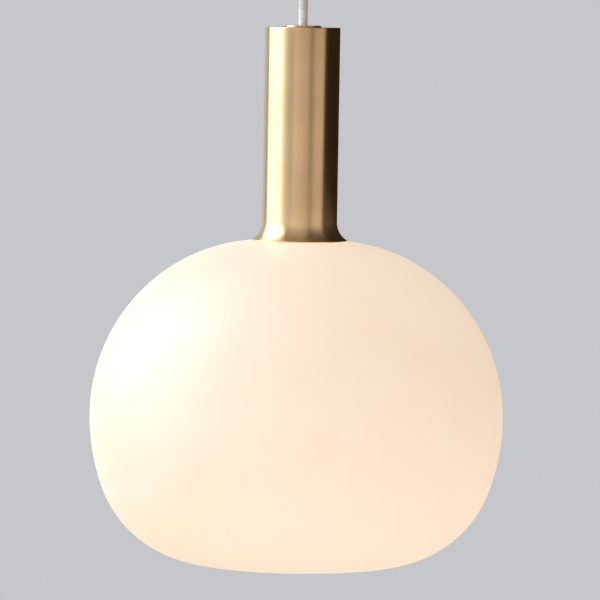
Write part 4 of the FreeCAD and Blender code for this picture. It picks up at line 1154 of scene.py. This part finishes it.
# ---------------------------------------------------------------- flex
@dataclass
class Flex:
    """The braided flex, in two straight stretches that meet half-way down the knuckle below the collar."""

    diameter: float = 5.6 * MM
    strands: int = 12
    lay: float = 16 * MM
    width: float = 0.94 * MM
    thickness: float = 0.36 * MM
    relief: float = 0.13 * MM
    bend: float = 5.5 * MM

    def build(self) -> None:
        """Builds both stretches."""
        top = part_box("cord_in_canopy")[1].z
        knuckle_low, knuckle_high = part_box("cord_flex")
        pivot = (knuckle_low.z + knuckle_high.z) / 2
        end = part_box("cord_drop")[0].z
        upper_route = [(0, 0, top), (0, 0, top - 12 * MM), (0, 0, pivot + 12 * MM), (0, 0, pivot)]
        lower_route = [(0, 0, pivot), (0, 0, pivot - 12 * MM), (0, 0, end + 45 * MM), (0, 0, end)]
        upper = self.stretch("flex_upper", upper_route, 0.0, ("cord_in_canopy", "cord_flex"))
        lower = self.stretch("flex_lower", lower_route, top - pivot, ("cord_drop",))
        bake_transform(upper[0])
        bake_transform(lower[0])

    def route_points(self, name: str, route: Sequence[tuple[float, float, float]]) -> bpy.types.Mesh:
        """Reads a smooth line through a route from its NURBS spline.

        Args:
            name: A name for the line.
            route: The spline's control points.

        Returns:
            The line as a mesh of points and edges.
        """
        curve = bpy.data.curves.new(name, "CURVE")
        curve.dimensions = "3D"
        curve.resolution_u = 16
        spline = curve.splines.new("NURBS")
        spline.points.add(len(route) - 1)
        for point, place in zip(spline.points, route):
            point.co = (*place, 1.0)
        spline.order_u = 3
        spline.use_endpoint_u = True
        holder = link_object(name, curve)
        graph = bpy.context.evaluated_depsgraph_get()
        line = bpy.data.meshes.new_from_object(holder.evaluated_get(graph))
        bpy.data.objects.remove(holder)
        return line

    def stretch(self, name: str, route: Sequence[tuple[float, float, float]], start: float,
                nodes: Sequence[str]) -> tuple[bpy.types.Object, list[tuple[float, float, float]]]:
        """Braids one stretch along its route.

        Args:
            name: The piece's name.
            route: Its control points, from the top down.
            start: Length of flex above it, so that the braid runs on.
            nodes: The CAD nodes that it replaces.

        Returns:
            The piece and the points that it follows.
        """
        line = self.route_points(f"{name}_route", route)
        path = [tuple(vertex.co) for vertex in line.vertices]
        piece = Recipes.braid.make(
            name, line, Strands=self.strands, Lay=self.lay, Width=self.width, Thickness=self.thickness,
            Relief=self.relief, Radius=self.diameter / 2 - self.thickness / 2 - self.relief, Start=start,
            Material=Finish.WHITE_TEXTILE.material())
        piece.data.materials.clear()
        piece.data.materials.append(Finish.WHITE_TEXTILE.material())
        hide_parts(*nodes)
        log.info("%s: %d faces", name, len(piece.data.polygons))
        return piece, path


# ---------------------------------------------------------------- brass cup
@dataclass
class BrassCup:
    """The tall spun cup with its flared mouth, the disc on its top and the fixings inside it."""

    body: str = "lamp"
    sheet: float = 1.0 * MM
    flare: float = 13.0 * MM
    flare_deg: float = 60.0
    lip: float = 0.5 * MM
    hole: float = 6.6 * MM
    top_rounding: float = 0.6 * MM
    stem: float = 6.5 * MM
    disc_rounding: float = 0.35 * MM

    def build(self) -> None:
        """Builds the cup and what holds it."""
        self.shell()
        self.disc()
        hollow_thread("hollow_rod", self.body, 1.0 * MM)
        soften_all(
            self.body, ("top_toothed_washer", Finish.ZINC_STEEL, 0.1 * MM),
            ("top_lock_nut", Finish.TURNED_BRASS, 0.15 * MM), ("top_cord_grip", Finish.NYLON, 0.15 * MM),
            ("rod_nuts", Finish.ZINC_STEEL, 0.12 * MM),
        )

    def shell(self) -> None:
        """Straight tube with a closed top, a hollow-curved mouth and a small upright lip."""
        low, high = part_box("cup_shell")
        mouth = low.z
        tube = high.x - self.flare * (1 - math.cos(math.radians(self.flare_deg)))
        inner = tube - self.sheet
        flare_top = mouth + self.lip + self.flare * math.sin(math.radians(self.flare_deg))
        centre = (tube + self.flare, flare_top)
        inner_reach = self.flare + self.sheet
        inner_deg = math.degrees(math.asin((flare_top - mouth) / inner_reach))
        outer_top = rounded_outline([
            (self.hole, high.z, 0.2 * MM), (tube, high.z, self.top_rounding), (tube, flare_top, 0.0),
            (inner, flare_top, 0.0), (inner, high.z - self.sheet, 0.3 * MM),
            (self.hole, high.z - self.sheet, 0.2 * MM),
        ])
        cut = next(k for k, ring in enumerate(outer_top) if ring.z <= flare_top and ring.r == tube)
        outer_arc = arc_rings(centre, self.flare, 180, 180 + self.flare_deg, 3.0)[1:-1]
        lip = [
            Ring(high.x - 0.25 * MM, mouth + self.lip + 0.12 * MM, 0.6), Ring(high.x, mouth + self.lip, 1.0),
            Ring(high.x, mouth + 0.2 * MM, 1.0), Ring(high.x - 0.2 * MM, mouth, 1.0),
        ]
        inner_arc = arc_rings(centre, inner_reach, 180 + inner_deg, 180, 3.0)[:-1]
        rings = [*outer_top[:cut + 1], *outer_arc, *lip, *inner_arc, *outer_top[cut + 1:]]
        dress(turned_piece("cup_shell_spun", rings, 256), Finish.BRUSHED_BRASS, self.body, "cup_shell")

    def disc(self) -> None:
        """Flanged bush: the flat disc that is seen on the cup's top, on a threaded stem."""
        low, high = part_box("top_disc")
        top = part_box("cup_shell")[1].z
        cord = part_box("cord_drop")[1].x + 0.3 * MM
        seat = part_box("top_cord_grip")[1]
        bore = seat.x + 0.05 * MM
        rings = rounded_outline([
            (cord, high.z, 0.35 * MM), (high.x, high.z, self.disc_rounding), (high.x, top, 0.12 * MM),
            (self.stem, top, 0.0), (self.stem, low.z, 0.4 * MM), (bore, low.z, 0.3 * MM),
            (bore, seat.z, 0.1 * MM), (cord, seat.z, 0.2 * MM),
        ])
        dress(turned_piece("top_disc_turned", rings, 128), Finish.BRUSHED_BRASS, self.body, "top_disc")


# ---------------------------------------------------------------- lampholder
@dataclass
class Lampholder:
    """The E27 lampholder inside the cup, whose threaded skirt reaches through the globe's neck."""

    body: str = "lamp"
    shell_thread: Thread = Thread(pitch=3.629 * MM, depth=0.9 * MM)
    shell_r: float = 13.25 * MM
    shell_wall: float = 0.45 * MM
    shell_hole: float = 10.0 * MM
    skirt_thread: Thread = Thread(pitch=2.5 * MM, depth=1.0 * MM)
    skirt_r: float = 20.0 * MM
    skirt_collar: tuple[float, float] = (17.3 * MM, 8.0 * MM)
    skirt_bores: tuple[float, float] = (15.2 * MM, 16.4 * MM)
    flange_levels: tuple[float, float] = (-200.4 * MM, -202.0 * MM)
    bore_step: tuple[float, float] = (-190.0 * MM, -192.0 * MM)
    gasket_bore: float = 20.3 * MM

    def build(self) -> None:
        """Builds the holder, from its cap down to the gasket under its flange."""
        brass, steel = Finish.TURNED_BRASS, Finish.ZINC_STEEL
        soften_all(
            self.body, ("holder_cap", Finish.BLACK_THERMOPLASTIC, 0.3 * MM),
            ("contact_block", Finish.WHITE_PORCELAIN, 0.3 * MM), ("centre_contact", brass, 0.08 * MM),
            ("side_contact", brass, 0.08 * MM), ("terminal_screws", steel, 0.1 * MM),
            ("holder_earth_post", brass, 0.12 * MM), ("holder_earth_screw", steel, 0.1 * MM),
            ("shell_rivets", brass, 0.1 * MM),
        )
        soften_cores(self.body, "holder_lead")
        self.shell()
        self.skirt()
        gasket_piece("upper_gasket", self.gasket_bore, self.body)

    def shell(self) -> None:
        """Rolled brass shell whose thread shows on both of its faces."""
        low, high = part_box("thread_shell")
        outer = self.shell_r + self.shell_wall
        under = high.z - self.shell_wall
        rings = rounded_outline([
            (self.shell_hole, high.z, 0.1 * MM), (outer, high.z, 0.3 * MM), (outer, low.z, 0.2 * MM),
            (self.shell_r, low.z, 0.2 * MM), (self.shell_r, under, 0.1 * MM),
            (self.shell_hole, under, 0.1 * MM),
        ])
        pitch = self.shell_thread.pitch
        rings = with_thread(rings, outer, high.z, low.z, pitch)
        rings = with_thread(rings, self.shell_r, under, low.z, pitch)
        shell = turned_piece("thread_shell_rolled", rings, 144, self.shell_thread, 60.0)
        dress(shell, Finish.TURNED_BRASS, self.body, "thread_shell")

    def skirt(self) -> None:
        """Moulded skirt with a flange half-way down its outside thread."""
        low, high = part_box("holder_skirt")
        root = self.skirt_r - self.skirt_thread.depth
        neck, neck_length = self.skirt_collar
        shoulder = high.z - neck_length
        top, bottom = self.flange_levels
        narrow, wide = self.skirt_bores
        step_top, step_bottom = self.bore_step
        rings = rounded_outline([
            (narrow, high.z, 0.2 * MM), (neck, high.z, 0.3 * MM), (neck, shoulder, 0.3 * MM),
            (root, shoulder, 0.5 * MM), (root, top, 0.2 * MM), (high.x, top, 0.4 * MM),
            (high.x, bottom, 0.4 * MM), (root, bottom, 0.2 * MM), (root, low.z, 0.6 * MM),
            (wide, low.z, 0.5 * MM), (wide, step_bottom, 0.3 * MM), (narrow, step_top, 0.3 * MM),
        ])
        pitch = self.skirt_thread.pitch
        rings = with_thread(rings, root, shoulder, top, pitch, self.skirt_r)
        rings = with_thread(rings, root, bottom, low.z, pitch, self.skirt_r)
        skirt = turned_piece("holder_skirt_moulded", rings, 160, self.skirt_thread, 60.0)
        dress(skirt, Finish.BLACK_THERMOPLASTIC, self.body, "holder_skirt")


def gasket_piece(node: str, bore: float, body: str, beads: int = 3, relief: float = 0.22 * MM) -> None:
    """Flat silicone washer with round sealing beads moulded on both of its faces.

    Args:
        node: The CAD node that it replaces.
        bore: Its inner radius.
        body: The body that it rides on.
        beads: Beads on each face.
        relief: How far the beads stand out of the faces.
    """
    low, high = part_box(node)
    outer = high.x
    count = beads * 12
    share = [k / count for k in range(count + 1)]
    dips = [relief * (0.5 - 0.5 * math.cos(FULL_TURN * beads * part)) for part in share]
    top = [Ring(bore + (outer - bore) * part, high.z - relief + dip, dip / relief)
           for part, dip in zip(share, dips)]
    under = [Ring(outer - (outer - bore) * part, low.z + relief - dip, dip / relief)
             for part, dip in zip(share, dips)]
    dress(turned_piece(f"{node}_moulded", [*top, *under], 144), Finish.SILICONE, body, node)


# ---------------------------------------------------------------- globe
@dataclass
class Globe:
    """The opal glass globe: two arcs above its widest level, two below it, and a shallow dome at each end."""

    body: str = "shade"
    glass: float = 3.0 * MM
    drop: float = 244.57 * MM
    upper_arcs: tuple[tuple[float, float, float], ...] = ((112.0 * MM, 0.0, 52.5), (106.0 * MM, 52.5, 85.0))
    lower_arcs: tuple[tuple[float, float, float], ...] = ((132.5 * MM, 0.0, 20.5), (71.5 * MM, 20.5, 84.0))
    crown: float = 333.0 * MM
    base: float = 476.0 * MM
    hole: float = 21.0 * MM
    seat: float = 26.5 * MM
    opening: float = 52.0 * MM
    gasket_bore: float = 20.6 * MM

    def build(self) -> None:
        """Builds the globe and the gasket on which its ring presses."""
        globe = turned_piece("glass_globe_blown", self.outline(), 256, sharp_deg=30.0)
        middle = Vector((0.0, 0.0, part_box("cup_shell")[1].z - self.drop))
        inner = [float(vertex.normal.dot(vertex.co - middle) < 0.0) for vertex in globe.data.vertices]
        globe.data.attributes.new("inner", "FLOAT", "POINT").data.foreach_set("value", inner)
        dress(globe, Finish.OPAL_GLASS, self.body, "glass_globe")
        gasket_piece("lower_gasket", self.gasket_bore, self.body)

    def wall(self, arcs: Iterable[tuple[float, float, float]], way: int, inset: float,
             step: float) -> list[Ring]:
        """One half of a wall surface, from the widest level towards an end.

        Args:
            arcs: Radius, first and last normal angle of each arc.
            way: 1 for the upper half and -1 for the lower.
            inset: Distance inside the outer surface.
            step: Largest angle between two rings, in degrees.

        Returns:
            Its rings.
        """
        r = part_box("glass_globe")[1].x - inset
        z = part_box("cup_shell")[1].z - self.drop
        rings = [Ring(r, z)]
        for radius, first, last in arcs:
            reach = radius - inset
            begin = math.radians(first)
            centre = (rings[-1].r - reach * math.cos(begin), rings[-1].z - way * reach * math.sin(begin))
            rings += arc_rings(centre, reach, way * first, way * last, step)[1:]
        return rings

    def dome(self, start: Ring, end_r: float, radius: float, way: int) -> list[Ring]:
        """Shallow spherical run inwards from a ring.

        Args:
            start: The ring that it goes on from.
            end_r: Its last radius.
            radius: The sphere's radius.
            way: 1 where it rises inwards and -1 where it falls.

        Returns:
            Its rings after the first.
        """
        count = 14
        radii = [start.r + (end_r - start.r) * k / count for k in range(1, count + 1)]
        flat = math.sqrt(radius ** 2 - start.r ** 2)
        return [Ring(r, start.z + way * (math.sqrt(radius ** 2 - r ** 2) - flat)) for r in radii]

    def outline(self) -> list[Ring]:
        """The wall's closed section, with a ground seat at the neck and a fire-polished rim."""
        outer_up = self.wall(self.upper_arcs, 1, 0.0, 1.6)
        outer_up += self.dome(outer_up[-1], self.seat, self.crown, 1)
        inner_up = self.wall(self.upper_arcs, 1, self.glass, 4.0)
        inner_up += self.dome(inner_up[-1], self.hole, self.crown - self.glass, 1)
        outer_low = self.wall(self.lower_arcs, -1, 0.0, 1.6)
        outer_low += self.dome(outer_low[-1], self.opening, self.base, -1)
        inner_low = self.wall(self.lower_arcs, -1, self.glass, 4.0)
        inner_low += self.dome(inner_low[-1], self.opening, self.base - self.glass, -1)
        seat_z = outer_up[-1].z
        soft = 0.25 * MM
        neck = [
            Ring(self.seat - soft, seat_z, 1.0), Ring(self.hole + soft, seat_z, 1.0),
            Ring(self.hole, seat_z - soft, 1.0), Ring(self.hole, inner_up[-1].z + soft, 1.0),
        ]
        rim_out, rim_in = outer_low[-1], inner_low[-1]
        middle = (self.opening, (rim_out.z + rim_in.z) / 2)
        rim = arc_rings(middle, (rim_in.z - rim_out.z) / 2, 90, 270, 15.0)[1:-1]
        rest = inner_low[1:]
        return [*outer_up, *neck, *inner_up[::-1], *rest, *rim, *outer_low[:0:-1]]


# ---------------------------------------------------------------- shade ring
@dataclass
class ShadeRing:
    """Threaded ring that clamps the globe's neck from inside, with finger flutes round its hub."""

    body: str = "shade_ring"
    thread: Thread = Thread(pitch=2.5 * MM, depth=0.95 * MM)
    flutes: Flutes = Flutes(count=16, depth=0.75 * MM)
    bore: float = 20.05 * MM
    hub: float = 24.5 * MM
    flange: float = 2.0 * MM

    def build(self) -> None:
        """Builds the ring."""
        low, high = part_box("shade_ring")
        under = high.z - self.flange
        rings = rounded_outline([
            (self.bore, high.z, 0.4 * MM), (high.x, high.z, 0.5 * MM), (high.x, under, 0.5 * MM),
            (self.hub, under - 0.4 * MM, 0.4 * MM), (self.hub, low.z, 0.5 * MM), (self.bore, low.z, 0.4 * MM),
        ], 0.6 * MM)
        rings = [Ring(ring.r, ring.z, ring.edge, flute=1.0 if ring.z < under - 0.6 * MM else 0.0)
                 if ring.r > self.hub - 0.6 * MM else ring for ring in rings]
        rings = with_thread(rings, self.bore, high.z, low.z, self.thread.pitch)
        ring = turned_piece("shade_ring_moulded", rings, 320, self.thread, 60.0, self.flutes)
        dress(ring, Finish.BLACK_THERMOPLASTIC, self.body, "shade_ring")


# ---------------------------------------------------------------- bulb
@dataclass
class Bulb:
    """LED bulb with an E27 cap: solder contact, glass insulator, threaded cap, housing, LEDs and dome."""

    body: str = "bulb"
    tip_body: str = "bulb_tip"
    thread: Thread = Thread(pitch=3.629 * MM, depth=0.9 * MM)
    cap_wall: float = 0.4 * MM
    cap_neck: float = 9.6 * MM
    plug: float = 11.7 * MM
    collar: tuple[float, float] = (13.8 * MM, 15.2 * MM)
    housing_wall: float = 2.0 * MM
    dome_top: float = 27.6 * MM
    dome_wall: float = 1.0 * MM
    solder: tuple[tuple[float, float, float], ...] = (
        (0.0, 0.0, 0.0), (1.2 * MM, 0.02 * MM, 0.0), (2.4 * MM, 0.12 * MM, 0.0), (3.3 * MM, 0.4 * MM, 0.0),
        (3.9 * MM, 0.8 * MM, 0.6), (4.2 * MM, 1.1 * MM, 1.0),
    )
    insulator_top: float = 5.2 * MM
    cap_shoulder: float = 2.8 * MM
    cap_slope: float = 1.6 * MM
    waist: tuple[tuple[float, float], ...] = ((18.5 * MM, -232.0 * MM), (24.0 * MM, -241.0 * MM))
    collar_low: float = -226.0 * MM
    led_chip: tuple[float, float] = (3.0 * MM, 2.8 * MM)
    led_circle: float = 16.0 * MM
    led_count: int = 10

    def build(self) -> None:
        """Builds the bulb from its contact down to its dome."""
        self.contact()
        self.cap()
        self.housing()
        self.leds()
        self.dome()

    def contact(self) -> None:
        """Solder blob on its disc, and the black glass that holds it."""
        low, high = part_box("bulb_contact")
        blob = [Ring(r, high.z - sag, edge) for r, sag, edge in self.solder]
        blob += [Ring(high.x, low.z + 0.5 * MM, 1.0), Ring(high.x, low.z), Ring(0.0, low.z)]
        dress(turned_piece("bulb_contact_solder", blob, 64), Finish.TIN_CONTACT, self.tip_body,
              "bulb_contact")
        low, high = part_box("bulb_insulator")
        rings = rounded_outline([
            (0.0, high.z, 0.0), (self.insulator_top, high.z, 0.5 * MM), (high.x, low.z, 0.3 * MM),
            (0.0, low.z, 0.0),
        ], 1.0 * MM)
        dress(turned_piece("bulb_insulator_glass", rings, 96), Finish.BLACK_VITRITE, self.body,
              "bulb_insulator")

    def cap(self) -> None:
        """Rolled nickel-plated cap whose thread shows on both of its faces."""
        low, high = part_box("bulb_cap")
        root = high.x - self.thread.depth
        inner = root - self.cap_wall
        shoulder = high.z - self.cap_shoulder
        slope = high.z - self.cap_slope
        rings = rounded_outline([
            (self.cap_neck, high.z, 0.1 * MM), (root - 0.6 * MM, slope, 0.5 * MM), (root, shoulder, 0.5 * MM),
            (root, low.z, 0.15 * MM), (inner, low.z, 0.15 * MM), (inner, shoulder, 0.3 * MM),
            (inner - 0.6 * MM, slope - 0.3 * MM, 0.3 * MM), (self.cap_neck - self.cap_wall, high.z, 0.1 * MM),
        ])
        pitch = self.thread.pitch
        rings = with_thread(rings, root, shoulder, low.z, pitch, high.x)
        rings = with_thread(rings, inner, shoulder, low.z, pitch, high.x - self.cap_wall)
        dress(turned_piece("bulb_cap_rolled", rings, 144, self.thread, 60.0), Finish.NICKEL, self.body,
              "bulb_cap")

    def housing(self) -> None:
        """Moulded body that widens from the cap to the dome."""
        low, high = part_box("bulb_housing")
        cap_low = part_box("bulb_cap")[0].z - 0.05 * MM
        narrow, wide = self.collar
        wall = self.housing_wall
        waist = [(wide, self.collar_low), *self.waist]
        outer = [(r, z, 2.5 * MM) for r, z in waist]
        inner = [(r - wall, z, 2.0 * MM) for r, z in reversed(waist)]
        rings = rounded_outline([
            (self.plug - wall, high.z, 0.1 * MM), (self.plug - 0.2 * MM, high.z, 0.2 * MM),
            (self.plug - 0.2 * MM, cap_low, 0.1 * MM), (narrow, cap_low, 0.3 * MM), *outer,
            (high.x, low.z, 0.25 * MM), (high.x - wall, low.z, 0.2 * MM), *inner,
            (self.plug - wall, cap_low, 0.3 * MM),
        ], 2.0 * MM)
        dress(turned_piece("bulb_housing_moulded", rings, 128), Finish.BULB_WHITE, self.body, "bulb_housing")

    def leds(self) -> None:
        """Aluminium plate with its ring of LED chips."""
        softened("bulb_led_plate", Finish.ALUMINIUM, self.body, 0.15 * MM)
        low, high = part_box("bulb_leds")
        chip = bmesh.new()
        size = Matrix.Diagonal((*self.led_chip, high.z - low.z, 1.0))
        bmesh.ops.create_cube(chip, size=1.0, matrix=size)
        bmesh.ops.bevel(chip, geom=chip.edges[:], offset=0.12 * MM, segments=2, affect="EDGES")
        mesh = bpy.data.meshes.new("led_chip_seed")
        chip.to_mesh(mesh)
        chip.free()
        chips = Recipes.ring_of.make("bulb_led_chips", mesh, Count=self.led_count, Radius=self.led_circle,
                                     Level=(low.z + high.z) / 2, Material=Finish.LED_YELLOW.material())
        dress(chips, Finish.LED_YELLOW, self.body, "bulb_leds")

    def dome(self) -> None:
        """Thin opal dome, a true sphere below its widest level."""
        low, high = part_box("bulb_diffuser")
        radius = high.x
        middle = low.z + radius
        small = radius - self.dome_wall
        lean = math.degrees(math.asin((high.z - middle) / radius * 0.98))
        squeeze = (radius - self.dome_top) / (radius - radius * math.cos(math.radians(lean)))

        def flank(reach: float, top: float) -> list[Ring]:
            """Upper part of one surface, from the widest level up."""
            rings = arc_rings((0.0, middle), reach, 0.0, lean, 5.0)
            scale = (top - middle) / (rings[-1].z - middle)
            return [
                Ring(reach - (reach - ring.r) * squeeze, middle + (ring.z - middle) * scale)
                for ring in rings
            ]

        outside = flank(radius, high.z)
        inside = flank(small, high.z)
        rings = [*arc_rings((0.0, middle), radius, -90.0, 0.0, 4.0)[:-1], *outside,
                 *inside[::-1], *arc_rings((0.0, middle), small, 0.0, -90.0, 4.0)[1:]]
        rings[0] = Ring(0.0, rings[0].z)
        rings[-1] = Ring(0.0, rings[-1].z)
        dress(turned_piece("bulb_dome", rings, 144), Finish.BULB_OPAL, self.body, "bulb_diffuser")


# ---------------------------------------------------------------- studio
@dataclass(frozen=True)
class Softbox:
    """Rectangular light that faces the lamp from a bearing, measured to the right of the camera's side."""

    name: str
    bearing: float
    spread: float
    height: float
    level: float
    colour: Colour
    radiance: float
    distance: float = 2.2

    def build(self, centre: Vector) -> bpy.types.Object:
        """Makes the light.

        Args:
            centre: The point that it faces.

        Returns:
            The light object.
        """
        width = 2 * self.distance * math.tan(math.radians(self.spread / 2))
        light = bpy.data.lights.new(self.name, "AREA")
        light.shape = "RECTANGLE"
        light.size = width
        light.size_y = self.height
        light.color = self.colour
        light.energy = self.radiance * math.pi * width * self.height
        box = link_object(self.name, light)
        bearing = math.radians(self.bearing)
        place = centre + Vector((math.sin(bearing), -math.cos(bearing), 0.0)) * self.distance
        box.location = place + Vector((0.0, 0.0, self.level))
        box.rotation_euler = (centre - box.location).to_track_quat("-Z", "Y").to_euler()
        box.visible_camera = False
        return box


@dataclass
class Studio:
    """Camera, softboxes, plain floor and even surroundings."""

    eye: tuple[float, float, float] = (0.0011, -3.2, -0.0379)
    target: tuple[float, float, float] = (0.0011, 0.0, -0.2413)
    lens: float = 306.0
    roll_deg: float = 1.0
    floor_radius: float = 12.0
    floor_drop: float = 2.0
    seen: Colour = (0.56, 0.57, 0.59)
    felt: Colour = (0.03, 0.02, 0.014)
    softboxes: tuple[Softbox, ...] = (
        Softbox("key_left", -94.0, 68.0, 2.7, 1.15, (0.99, 1.0, 1.0), 4.4),
        Softbox("front_left", -42.0, 44.0, 1.6, 0.2, (0.97, 1.0, 1.0), 0.96),
        Softbox("front_middle_left", -9.0, 26.0, 1.6, 0.2, (1.0, 0.9, 0.86), 1.18),
        Softbox("front_centre", 13.0, 18.0, 1.6, 0.2, (1.0, 0.87, 0.79), 0.98),
        Softbox("front_middle_right", 30.0, 16.0, 1.6, 0.2, (1.0, 0.86, 0.76), 0.62),
        Softbox("front_right", 55.5, 35.0, 1.6, 0.2, (1.0, 0.87, 0.81), 1.02),
        Softbox("back_left", -157.0, 50.0, 1.6, 0.2, (0.82, 0.92, 1.0), 0.7),
        Softbox("high_front", -10.0, 70.0, 2.0, 3.0, (1.0, 0.95, 0.9), 0.5),
    )

    def build(self) -> None:
        """Builds the whole studio."""
        self.camera()
        self.surroundings()
        self.floor()
        centre = Vector(self.target)
        for softbox in self.softboxes:
            softbox.build(centre)

    def camera(self) -> None:
        """Long lens level with the canopy, a little above the lamp's middle."""
        data = bpy.data.cameras.new("camera")
        data.lens = self.lens
        data.sensor_width = 36.0
        data.clip_end = 200.0
        camera = link_object("camera", data)
        camera.location = self.eye
        aim = (Vector(self.target) - Vector(self.eye)).to_track_quat("-Z", "Y")
        roll = Matrix.Rotation(math.radians(self.roll_deg), 3, "Z")
        camera.rotation_euler = (aim.to_matrix() @ roll).to_euler()
        bpy.context.scene.camera = camera

    def surroundings(self) -> None:
        """Pale seamless background, and dim even light from it."""
        world = bpy.data.worlds.new("surroundings")
        world.use_nodes = True
        tree = world.node_tree
        tree.nodes.clear()
        ray = add_node(tree, "ShaderNodeLightPath")
        dim = add_node(tree, "ShaderNodeBackground", {"Color": rgba(self.felt), "Strength": 1.0})
        pale = add_node(tree, "ShaderNodeBackground", {"Color": rgba(self.seen), "Strength": 1.0})
        choose = add_node(tree, "ShaderNodeMixShader", {
            0: ray.outputs["Is Camera Ray"], 1: dim.outputs[0], 2: pale.outputs[0]})
        add_node(tree, "ShaderNodeOutputWorld", {"Surface": choose.outputs[0]})
        bpy.context.scene.world = world
        bpy.context.scene.view_settings.view_transform = "Standard"

    def floor(self) -> None:
        """Round floor well below the lamp."""
        work = bmesh.new()
        bmesh.ops.create_circle(work, cap_ends=True, segments=96, radius=self.floor_radius)
        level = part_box("glass_globe")[0].z - self.floor_drop
        bmesh.ops.translate(work, verts=work.verts, vec=(0.0, 0.0, level))
        mesh = bpy.data.meshes.new("studio_floor")
        work.to_mesh(mesh)
        work.free()
        floor = link_object("studio_floor", mesh)
        floor.data.materials.append(Finish.STUDIO_FLOOR.material())
        floor.visible_diffuse = False
        floor.visible_glossy = False


def main() -> None:
    """Builds the studio and then the lamp, from the ceiling down."""
    logging.basicConfig(level=logging.INFO, format="%(message)s")
    Groups.build()
    Recipes.build()
    Studio().build()
    for part in (Flex(), CeilingGroup(), BrassCup(), Lampholder(), Globe(), ShadeRing(), Bulb()):
        part.build()


if __name__ == "__main__":
    main()
